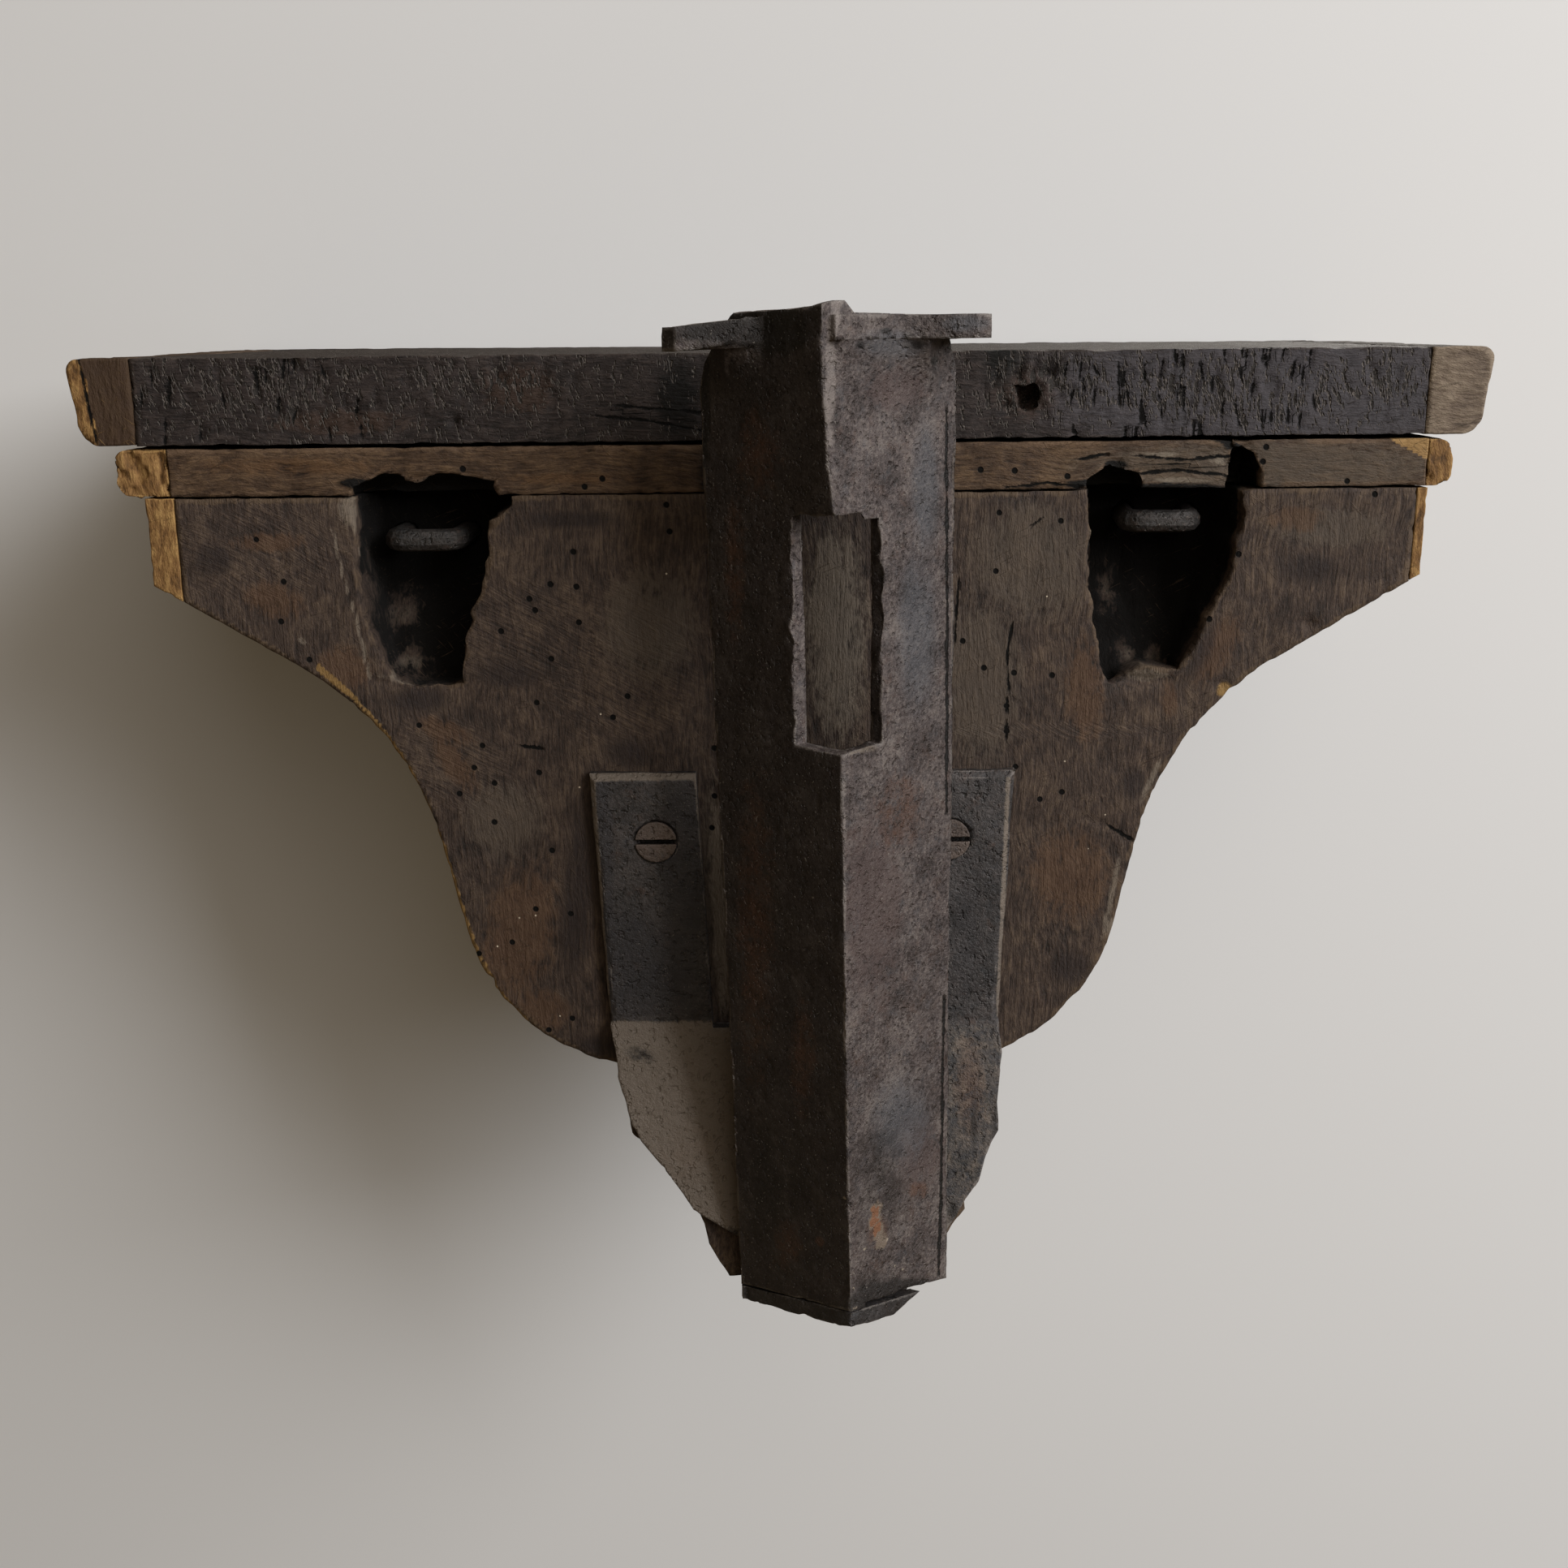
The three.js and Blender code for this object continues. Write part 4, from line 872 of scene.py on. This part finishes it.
# %% [markdown]
# ## Bloom and dust on the yoke and the screws
#
# The yoke's legs are blue-black, and the plate below them is taupe with dust. A pale line along
# the legs' top and side edges is a painted highlight. The plate starts at one row of the photograph
# and its folded floor at another, so two ramps tell the parts apart. The screws' slots and the
# lower sides of their heads are darkened with painted shade.

# %% Mark the yoke and the screws
PLATE_TOP_V, FLOOR_TOP_V, FLOOR_Y_MM = 1252, 1560, 20
CHANNEL_MIDDLE_U = 1000
# Painted highlight: a pale line along the legs' top and side edges.
LEG_TOP = [[(728, 957), (852, 955)]]
LEG_SIDES = [[(858, 960), (884, 1250)], [(1242, 960), (1230, 1250)], [(730, 960), (750, 1250)]]
YOKE_BLOOM = [(780, 1190, 90, 80, 0), (742, 1080, 16, 170, 0), (840, 1100, 30, 170, 0),
              (1190, 1150, 40, 200, 0)]
YOKE_SOOT = [(905, 1520, 20, 14, 0), (1175, 1490, 12, 20, 0), (790, 1300, 34, 14, 15),
             (1226, 1400, 7, 130, 4), (770, 1400, 10, 70, -20), (1200, 1380, 8, 60, 0)]
YOKE_RUST = [(850, 1420, 50, 60, 0), (1195, 1340, 30, 100, 0)]

yoke = iron["iron_yoke"]
points, normals, pixels, _ = seen_points(yoke)
u, v = pixels.T
outward = np.clip(normals[:, 1] * 4, 0, 1)
is_plate = rising(v, PLATE_TOP_V, 12)
is_floor = rising(v, FLOOR_TOP_V, 12) * (points[:, 1] > FLOOR_Y_MM * MM)
left_half = u < CHANNEL_MIDDLE_U
leg_edge_highlight = np.maximum(lines(pixels, LEG_TOP, 7), 0.8 * lines(pixels, LEG_SIDES, 4))
plate_dust = is_plate * (1 - is_floor) * np.where(left_half, 1.0, 0.42)
keep(yoke, "bloom", outward * (1 - is_plate) * np.where(left_half, 1, 0.5)
     * ovals(pixels, YOKE_BLOOM))
# dust: the plate's dust, and the painted highlight on the legs' edges.
keep(yoke, "dust", outward * np.maximum(plate_dust, leg_edge_highlight))
keep(yoke, "soot", outward * np.maximum(ovals(pixels, YOKE_SOOT) * 0.6, is_floor * 0.45))
keep(yoke, "rust", outward * 0.6 * ovals(pixels, YOKE_RUST))

for name in ("yoke_screw_right", "yoke_screw_left"):
    points, normals, _ = read(iron[name])
    sunk_shade = rising((points[:, 1].max() - points[:, 1]) / MM, 0.35, 1)
    # soot: painted shade in the screws' slots and on their heads' lower sides.
    keep(iron[name], "soot", np.maximum(sunk_shade, np.clip(-normals[:, 2] * 2 - 1, 0, 1)))
print("yoke: points of the plate", int((is_plate > 0.5).sum()))

# %% [markdown]
# ## Masks and marks
#
# Both the wood and the iron need the same few things from their materials: round holes at given
# places, stored stains that fray at their edge, thin lines that are sharper than the net, and
# noise with longer lumps one way. A stain could be painted on a picture, but then it would be as
# coarse as the picture. Here it is worked out at every point that the camera sees.

# %% Helpers for the materials
def overlaid(tree, colour, value, low, high, cover, code):
    """Lays a colour over another where a value is high: none of it up to low, and the share cover
    from high on. Gives the new colour and the share."""
    share = add(tree, "MapRange", {"Value": value, "From Min": low, "From Max": high,
                                   "To Max": cover}).outputs["Result"]
    mixed = add(tree, "Mix", {0: share, 6: colour, 7: linear(code)}, data_type="RGBA")
    return mixed.outputs[2], share


def marked(tree, colour, height, mark, code, rise):
    """Draws a mark where mark is 1: its colour over the other, and the height plus rise times the
    mark, so that a rise below 0 sinks it."""
    mixed = add(tree, "Mix", {0: mark, 6: colour, 7: linear(code)}, data_type="RGBA")
    raised = add(tree, "Math", {0: mark, 1: rise, 2: height}, operation="MULTIPLY_ADD")
    return mixed.outputs[2], raised.outputs[0]


def holes_mask(tree, position, places, radius):
    """1 inside any of the holes: the least distance to a hole's centre, compared with the
    radius."""
    nearest = None
    for place in places:
        gap = add(tree, "VectorMath", {0: position, 1: tuple(place)}, operation="DISTANCE")
        distance = gap.outputs["Value"]
        if nearest is not None:
            distance = add(tree, "Math", {0: nearest, 1: distance}, operation="MINIMUM").outputs[0]
        nearest = distance
    edge = add(tree, "MapRange", {"Value": nearest, "From Min": radius * 0.85,
                                  "From Max": radius * 1.15, "To Min": 1.0, "To Max": 0.0})
    return edge.outputs["Result"]


def dissolved(tree, colour, rag, layers):
    """Lays stored masks over a colour, each (mask's name, colour code, cover): the mask times a
    ragged noise around 1.5 is cut off at a threshold, so each layer frays into specks at its
    edge instead of fading out."""
    for mask, code, cover in layers:
        amount = add(tree, "Attribute", attribute_name=mask).outputs["Fac"]
        ragged = add(tree, "Math", {0: rag, 1: amount}, operation="MULTIPLY").outputs[0]
        colour, _ = overlaid(tree, colour, ragged, 0.55, 0.95, cover, code)
    return colour


LINE_START = 0.12


def thin_line(tree, fine_noise, slow_noise, half_width):
    """1 on the stored lines: the distance in pixels wobbles with a fine noise and is compared
    with half the line's width, which a slow noise makes thinner and thicker. Both noises are
    about 0.5, so 0.05 comes off for the first, and LINE_START stands for the second."""
    side = add(tree, "Attribute", attribute_name="line_side").outputs["Fac"]
    off = add(tree, "Math", {0: fine_noise, 1: 0.1, 2: side}, operation="MULTIPLY_ADD").outputs[0]
    off = add(tree, "Math", {0: off, 1: 0.5 + 0.05}, operation="SUBTRACT").outputs[0]
    off = add(tree, "Math", {0: off}, operation="ABSOLUTE").outputs[0]
    off = add(tree, "Math", {0: slow_noise, 1: 2 * LINE_START, 2: off}, operation="MULTIPLY_ADD")
    half_share = half_width / (2 * LINE_REACH)
    share = add(tree, "MapRange", {"Value": off.outputs[0],
                                   "From Min": LINE_START + half_share * 0.5,
                                   "From Max": LINE_START + half_share * 1.3,
                                   "To Min": 1.0, "To Max": 0.0}).outputs["Result"]
    here = add(tree, "Attribute", attribute_name="line_here").outputs["Fac"]
    return add(tree, "Math", {0: share, 1: here}, operation="MULTIPLY").outputs[0]


def stretched_noise(tree, space, sizes_mm, turned=0.0, detail=4.0):
    """Noise whose lumps have their own size along each axis, turned about Y by some degrees."""
    mapping = add(tree, "Mapping", {"Vector": space, "Rotation": (0, math.radians(turned), 0),
                                    "Scale": tuple(size * MM for size in sizes_mm)},
                  vector_type="TEXTURE")
    noise = add(tree, "TexNoise", {"Vector": mapping.outputs[0], "Scale": 1.0, "Detail": detail,
                                   "Roughness": 0.7})
    return noise.outputs["Fac"]


def wavering_space(tree, position, size_mm, detail, reach_mm):
    """Places shifted by up to reach_mm by a colour noise, so that what is drawn there bends."""
    waver = add(tree, "TexNoise", {"Vector": position, "Scale": 1 / (size_mm * MM),
                                   "Detail": detail}).outputs["Color"]
    return add(tree, "VectorMath", {0: waver, 1: (reach_mm * MM,) * 3, 2: position},
               operation="MULTIPLY_ADD").outputs[0]


print("one millimetre of the back is", round(FOCAL_PIXELS * MM / CAMERA_PLACE[1], 1), "pixels")

# %% [markdown]
# ## Old stained wood
#
# The body is a brown hardwood under two centuries of wax, smoke and handling: long grain,
# darker and purplish patches where the stain gathered, orange-brown ones where hands rubbed it
# through, pale scratches, and the round flight holes of furniture beetles, 1.5 mm across. The
# holes sit where the photograph has them. Wax has an IOR of about 1.44, but dust dulls it here,
# so the number is matched down to 1.33. The wood's own pores are finer than the render can show,
# and the grain is drawn 0.55 mm wide instead.

# %% Shader for wood
HOLE_RADIUS = 0.68 * MM
SPECK_RADIUS = 0.24 * MM
DUSTY_WAX_IOR = 1.33
WOOD_BUMP = 0.6 * MM
MOTTLE_MM = {"X": (3.6, 1.3, 1.3), "Z": (1.3, 1.3, 3.6)}
HAIR_MM, HAIR_ANGLES = (8, 2, 0.4), (22, -48)
TORN_MM, TORN_LEAN = (1.0, 3, 3.0), 8


def old_wood(name, grain_axis, dark, mid, light, layers, hole_places=(), roughness=0.66,
             grain_mm=(0.55, 8), streaks=0.35, torn_marks=False, speck_places=(), line_width=1.7):
    """A stained and worn wood. Grain is noise stretched along one axis, wavering a little, and
    turned aside where the wood is brushed. Patches are soft noise of 12 mm, and mottling is one of
    1.3 mm, or 3.6 mm along the grain. The colour runs from dark through mid to light with all
    three, and the stored layers lie over it. Scratches are long thin noises in two directions,
    in bunches. The holes, the specks and the thin lines come last."""
    material, tree, output = empty_material(name)
    position = add(tree, "TexCoord").outputs["Object"]
    wavering = wavering_space(tree, position, 16, 0.5, 4)
    patches = add(tree, "TexNoise", {"Vector": position, "Scale": 1 / (12 * MM), "Detail": 7.0,
                                     "Roughness": 0.72}).outputs["Fac"]
    mottling = stretched_noise(tree, wavering, MOTTLE_MM[grain_axis], 0, 5.0)
    rag = add(tree, "Math", {0: patches, 1: 1.5}, operation="MULTIPLY").outputs[0]
    rag = add(tree, "Math", {0: mottling, 1: 3.0, 2: rag}, operation="MULTIPLY_ADD").outputs[0]
    rag = add(tree, "Math", {0: rag, 1: 0.75}, operation="SUBTRACT").outputs[0]

    fine, long = grain_mm
    sizes = {"X": (long, fine, fine), "Z": (fine, fine, long)}[grain_axis]
    straight = stretched_noise(tree, wavering, sizes)
    aside = stretched_noise(tree, wavering, sizes, 62)
    brushed = add(tree, "Attribute", attribute_name="brushed").outputs["Fac"]
    brushed = add(tree, "Math", {0: rag, 1: brushed}, operation="MULTIPLY").outputs[0]
    brushed = add(tree, "MapRange", {"Value": brushed, "From Min": 0.5, "From Max": 0.9})
    grain = add(tree, "Mix", {0: brushed.outputs["Result"], 2: straight, 3: aside}).outputs[0]

    shade = add(tree, "Math", {0: grain, 1: streaks}, operation="MULTIPLY").outputs[0]
    shade = add(tree, "Math", {0: mottling, 1: 0.3, 2: shade}, operation="MULTIPLY_ADD").outputs[0]
    shade = add(tree, "Math", {0: patches, 1: 0.7 - streaks, 2: shade}, operation="MULTIPLY_ADD")
    colour = add(tree, "ValToRGB", {"Fac": shade.outputs[0]},
                 stops=[(0.39, dark), (0.6, light), (0.49, mid)]).outputs[0]
    colour = dissolved(tree, colour, rag, layers)
    height = add(tree, "Math", {0: grain, 1: 0.7}, operation="MULTIPLY").outputs[0]
    height = add(tree, "Math", {0: mottling, 1: 1.1, 2: height}, operation="MULTIPLY_ADD")
    height = height.outputs[0]

    for angle in HAIR_ANGLES:
        hairs = stretched_noise(tree, wavering, HAIR_MM, angle, 2.0)
        hairs = add(tree, "Math", {0: patches, 1: 0.4, 2: hairs}, operation="MULTIPLY_ADD")
        colour, hair = overlaid(tree, colour, hairs.outputs[0], 0.87, 0.93, 0.4, light)
        height = add(tree, "Math", {0: hair, 1: 0.8, 2: height}, operation="MULTIPLY_ADD")
        height = height.outputs[0]
    if torn_marks:
        torn = add(tree, "Attribute", attribute_name="torn").outputs["Fac"]
        gouges = stretched_noise(tree, wavering, TORN_MM, TORN_LEAN, 2.0)
        gouges = add(tree, "Math", {0: torn, 1: 0.12, 2: gouges}, operation="MULTIPLY_ADD")
        for low, high, code in ((0.6, 0.65, "#69615b"), (0.66, 0.69, "#060505")):
            colour, cut = overlaid(tree, colour, gouges.outputs[0], low, high, 0.85, code)
            height = add(tree, "Math", {0: cut, 1: -1.6, 2: height}, operation="MULTIPLY_ADD")
            height = height.outputs[0]

    dark_marks = thin_line(tree, patches, mottling, line_width)
    if len(hole_places):
        hole = holes_mask(tree, position, hole_places, HOLE_RADIUS)
        dark_marks = add(tree, "Math", {0: dark_marks, 1: hole}, operation="MAXIMUM").outputs[0]
    colour, height = marked(tree, colour, height, dark_marks, "#040302", -2.2)
    if len(speck_places):
        speck = holes_mask(tree, position, speck_places, SPECK_RADIUS)
        colour = add(tree, "Mix", {0: speck, 6: colour, 7: linear("#b7ab98")},
                     data_type="RGBA").outputs[2]

    bump = add(tree, "Bump", {"Height": height, "Distance": WOOD_BUMP, "Strength": 1.0})
    gloss = add(tree, "MapRange", {"Value": patches, "From Min": 0.3, "From Max": 0.7,
                                   "To Min": roughness - 0.12, "To Max": roughness + 0.14})
    # Rougher under the pockets' painted shade, and in the holes and thin lines.
    shade_and_marks = add(tree, "Attribute", attribute_name="black").outputs["Fac"]
    shade_and_marks = add(tree, "Math", {0: shade_and_marks, 1: dark_marks}, operation="MAXIMUM").outputs[0]
    gloss = add(tree, "Math", {0: shade_and_marks, 1: 0.4, 2: gloss.outputs[0]}, operation="MULTIPLY_ADD",
                use_clamp=True)
    shader = add(tree, "BsdfPrincipled", {"Base Color": colour, "Roughness": gloss.outputs[0],
                                          "Normal": bump.outputs[0], "IOR": DUSTY_WAX_IOR})
    tree.links.new(shader.outputs[0], output.inputs["Surface"])
    return material


print("wormholes in mm:", round(2 * HOLE_RADIUS / MM, 2))

# %% [markdown]
# ## The wooden finishes
#
# Five finishes come from the one recipe, each with three colours, its own stored layers and its
# grain along the piece: the waxed walnut of the body, the black stain of the shelf, the browner
# strip, the bare ochre wood of beads and bands, and the taupe end grain of one moulding.

# %% Finish the wood
BODY_HOLES = [(315, 665), (349, 717), (346, 766), (381, 813), (821, 622), (825, 655), (706, 680),
              (678, 720), (710, 723), (652, 738), (659, 752), (713, 767), (617, 778), (679, 812),
              (773, 858), (755, 884), (661, 866), (516, 894), (594, 919), (584, 946), (609, 965),
              (664, 952), (566, 978), (680, 1048), (609, 1013), (880, 981), (877, 1020),
              (880, 922), (703, 1126), (660, 1120), (631, 1161), (590, 1175), (705, 1255),
              (676, 1269), (1231, 632), (1307, 642), (1227, 704), (1186, 790), (1212, 823),
              (1249, 829), (1296, 832), (1240, 870), (1240, 901), (1251, 945), (1308, 976),
              (1281, 985), (1694, 609), (1526, 683), (1490, 763)]
BODY_SPECKS = [(821, 707), (505, 681), (1341, 1046), (1312, 938), (1362, 1004), (640, 1131),
               (613, 1166), (660, 1128), (714, 970), (740, 880), (1290, 735), (690, 1252)]
STRIP_HOLES = [(513, 590), (570, 578), (1208, 579), (1250, 580), (1315, 587), (1560, 551),
               (1556, 569), (1660, 593), (742, 590), (720, 600)]
body_holes = [seen_at(u, v) for u, v in BODY_HOLES]
body_specks = [seen_at(u, v) for u, v in BODY_SPECKS]
strip_holes = [seen_at(u, v) for u, v in STRIP_HOLES]

# On the body, black is painted shade in the pockets; the soot, pale and dust layers also hold
# painted shadow and painted light.
walnut = old_wood("waxed_walnut_brown", "Z", "#1f1916", "#3b302a", "#594b3f",
                  [("dust", "#4f463d", 0.6), ("warm", "#553d2a", 0.5), ("rubbed", "#5a4a38", 0.5),
                   ("soot", "#1f191a", 0.7), ("pale", "#786e62", 0.6), ("bare", "#85693d", 0.8),
                   ("black", "#060403", 1.0)], body_holes, speck_places=body_specks)
# On the shelf, soot holds painted shadow beside the channel and painted shade in the dents.
shelf_stain = old_wood("black_stained_shelf", "X", "#141110", "#282221", "#3e3633",
                       [("dust", "#47454a", 0.6), ("warm", "#3a2b22", 0.6),
                        ("rubbed", "#423934", 0.5), ("soot", "#080706", 0.95)],
                       torn_marks=True, line_width=1.4)
# On the strip, soot also holds painted shade inside the bites.
strip_brown = old_wood("worn_brown_strip", "X", "#261b14", "#463629", "#634f3b",
                       [("dust", "#50483f", 0.6), ("warm", "#5d432b", 0.45),
                        ("rubbed", "#665240", 0.5), ("pale", "#766d61", 0.7),
                        ("bare", "#93754a", 0.9), ("soot", "#080605", 1.0)], strip_holes)
bare_ochre = old_wood("bare_ochre_wood", "Z", "#432f1a", "#755632", "#a08050",
                      [("rubbed", "#9b7b4c", 0.6), ("stain", "#382a20", 0.95),
                       ("soot", "#120d09", 0.95)], grain_mm=(1.2, 5), roughness=0.75)
end_grain = old_wood("taupe_end_grain", "X", "#4f433a", "#6a5d50", "#827566",
                     [("rubbed", "#8b7d6c", 0.5), ("stain", "#2b2522", 0.95),
                      ("soot", "#1c1613", 0.9)], grain_mm=(1.0, 5), roughness=0.75)

FINISHES = {"bracket_body": (walnut, "body_wood"), "shelf_board": (shelf_stain, "shelf_wood"),
            "strip_board": (strip_brown, "strip_wood"),
            "shelf_moulding_right": (bare_ochre, "shelf_wood"),
            "shelf_moulding_left": (end_grain, "shelf_wood"),
            "shelf_moulding_front": (shelf_stain, "shelf_wood"),
            "strip_bead_right": (bare_ochre, "bare_wood"),
            "strip_bead_left": (bare_ochre, "bare_wood"),
            "strip_bead_front": (strip_brown, "strip_wood"),
            "side_band_right": (bare_ochre, "bare_wood"),
            "side_band_left": (bare_ochre, "bare_wood"),
            "side_band_front": (walnut, "body_wood"), "tail_block": (walnut, "body_wood")}
for node, (material, slot) in FINISHES.items():
    wood[node].data.materials.append(material)
print("wood finishes:", sorted({material.name for material, _ in FINISHES.values()}))

# %% [markdown]
# ## Rusted wrought iron
#
# Old wrought iron is not bare metal: a skin of black scale and brown rust covers it, which
# shines a little where hands and cloth polished it. So the metal share is low, the roughness is
# about a half, and a fine grit of pits breaks every highlight.

# %% Shader for iron
IRON_BUMP = 0.45 * MM
FLECKS = ((0.54, 0.66, "#4e382c"), (0.46, 0.36, "#3b3e43"))
FRAY_REACH_MM = 4


def old_iron(name, dark, mid, light, layers, metal=0.3, roughness=0.52, specks=0.5, spots=()):
    """Black scale with grit: cloudy colour of 10 mm, grit of 0.9 mm, rusty flecks and bluish ones
    of 4 mm, shallow pits of 1.5 mm, and small light specks where the crust has broken. Spots are
    round patches at given places whose edge frays, because they are drawn in wavering space."""
    material, tree, output = empty_material(name)
    position = add(tree, "TexCoord").outputs["Object"]
    clouds, grit, flecks, chips, dots = (
        add(tree, "TexNoise", {"Vector": position, "Scale": 1 / (size_mm * MM), "Detail": detail,
                               "Roughness": rough}).outputs["Fac"]
        for size_mm, detail, rough in ((10, 7.0, 0.72), (0.9, 4.0, 0.75), (4, 6.0, 0.78),
                                       (1.5, 2.0, 0.5), (0.6, 1.0, 0.5)))
    shade = add(tree, "Math", {0: grit, 1: 0.5}, operation="MULTIPLY").outputs[0]
    shade = add(tree, "Math", {0: clouds, 1: 0.5, 2: shade}, operation="MULTIPLY_ADD").outputs[0]
    colour = add(tree, "ValToRGB", {"Fac": shade},
                 stops=[(0.4, dark), (0.61, light), (0.5, mid)]).outputs[0]
    for low, high, code in FLECKS:
        colour, _ = overlaid(tree, colour, flecks, low, high, 0.35, code)
    colour, pits = overlaid(tree, colour, chips, 0.58, 0.68, 0.45, dark)
    rag = add(tree, "Math", {0: flecks, 1: 3.0, 2: grit}, operation="MULTIPLY_ADD").outputs[0]
    rag = add(tree, "Math", {0: rag, 1: 0.5}, operation="SUBTRACT").outputs[0]
    colour = dissolved(tree, colour, rag, layers)

    height = add(tree, "Math", {0: pits, 1: -0.6 / 0.45, 2: grit}, operation="MULTIPLY_ADD")
    dots = add(tree, "Math", {0: flecks, 1: 0.3, 2: dots}, operation="MULTIPLY_ADD").outputs[0]
    colour, dot = overlaid(tree, colour, dots, 0.85, 0.9, specks, "#8d8780")
    height = add(tree, "Math", {0: dot, 1: 0.8, 2: height.outputs[0]}, operation="MULTIPLY_ADD")
    frayed = wavering_space(tree, position, 2.5, 4.0, FRAY_REACH_MM)
    frayed = add(tree, "VectorMath", {0: frayed, 1: (FRAY_REACH_MM / 2 * MM,) * 3},
                 operation="SUBTRACT").outputs[0]
    for places, radius_mm, code in spots:
        spot = holes_mask(tree, frayed, places, radius_mm * MM)
        colour = add(tree, "Mix", {0: spot, 6: colour, 7: linear(code)},
                     data_type="RGBA").outputs[2]
    split = thin_line(tree, clouds, flecks, 1.5)
    colour, height = marked(tree, colour, height.outputs[0], split, "#040303", -2.5)

    bump = add(tree, "Bump", {"Height": height, "Distance": IRON_BUMP, "Strength": 1.0})
    gloss = add(tree, "MapRange", {"Value": grit, "From Min": 0.3, "From Max": 0.7,
                                   "To Min": roughness - 0.1, "To Max": roughness + 0.15})
    shader = add(tree, "BsdfPrincipled", {"Base Color": colour, "Roughness": gloss.outputs[0],
                                          "Normal": bump.outputs[0], "Metallic": metal})
    tree.links.new(shader.outputs[0], output.inputs["Surface"])
    return material


print("iron bump in mm:", round(IRON_BUMP / MM, 2))

# %% [markdown]
# ## The iron finishes
#
# Four finishes come from that one recipe: the rusted channel with its patches, the dusty yoke,
# the staples' grey rods, which take the light on their round tops, and the brown screws.

# %% Finish the iron
# In these layers the side away from the window gets painted shade, bloom also holds a painted sheen
# at the channel's top, and soot painted shade over the left ear.
IRON_LAYERS = [("plum", "#4a3d3b", 0.6), ("bloom", "#4a4e54", 0.5), ("painted_shade_side", "#161112", 0.7),
               ("rust", "#523728", 0.6), ("ridge", "#7d7571", 0.6), ("rubbed", "#77716d", 0.6),
               ("dust", "#6a6056", 0.75), ("soot", "#100e0e", 0.85)]
channel_scale = old_iron("rusted_wrought_iron", "#251e1c", "#494140", "#6a625e", IRON_LAYERS,
                         spots=((crust_ring, 2.0, "#6d6156"), (fresh_rust, 1.4, "#74503a"),
                                (crust, 0.45, "#8d8376")))
yoke_scale = old_iron("dusty_wrought_iron", "#232121", "#373434", "#4c4746",
                      [("bloom", "#2d2c30", 0.6), ("rust", "#523728", 0.6),
                       ("rubbed", "#77716d", 0.6), ("dust", "#746a60", 0.8),
                       ("soot", "#100e0e", 0.85)], specks=0.25)
staple_scale = old_iron("grey_forged_rod", "#1d1b1a", "#302d2b", "#454140", IRON_LAYERS[5:6])
# The screws' soot layer is painted shade in the slots and under the heads.
screw_scale = old_iron("brown_screw_iron", "#3a312d", "#544943", "#645953",
                       [("rubbed", "#746a64", 0.5), ("soot", "#060504", 1.0)], specks=0.2)
IRON_FINISHES = {"corner_channel": (channel_scale, "channel_iron"),
                 "iron_yoke": (yoke_scale, "yoke_iron"),
                 "hanging_staple_right": (staple_scale, "staple_iron"),
                 "hanging_staple_left": (staple_scale, "staple_iron"),
                 "yoke_screw_right": (screw_scale, "screw_iron"),
                 "yoke_screw_left": (screw_scale, "screw_iron")}
for node, (material, slot) in IRON_FINISHES.items():
    iron[node].data.materials.append(material)
print("iron finishes:", sorted({material.name for material, _ in IRON_FINISHES.values()}))
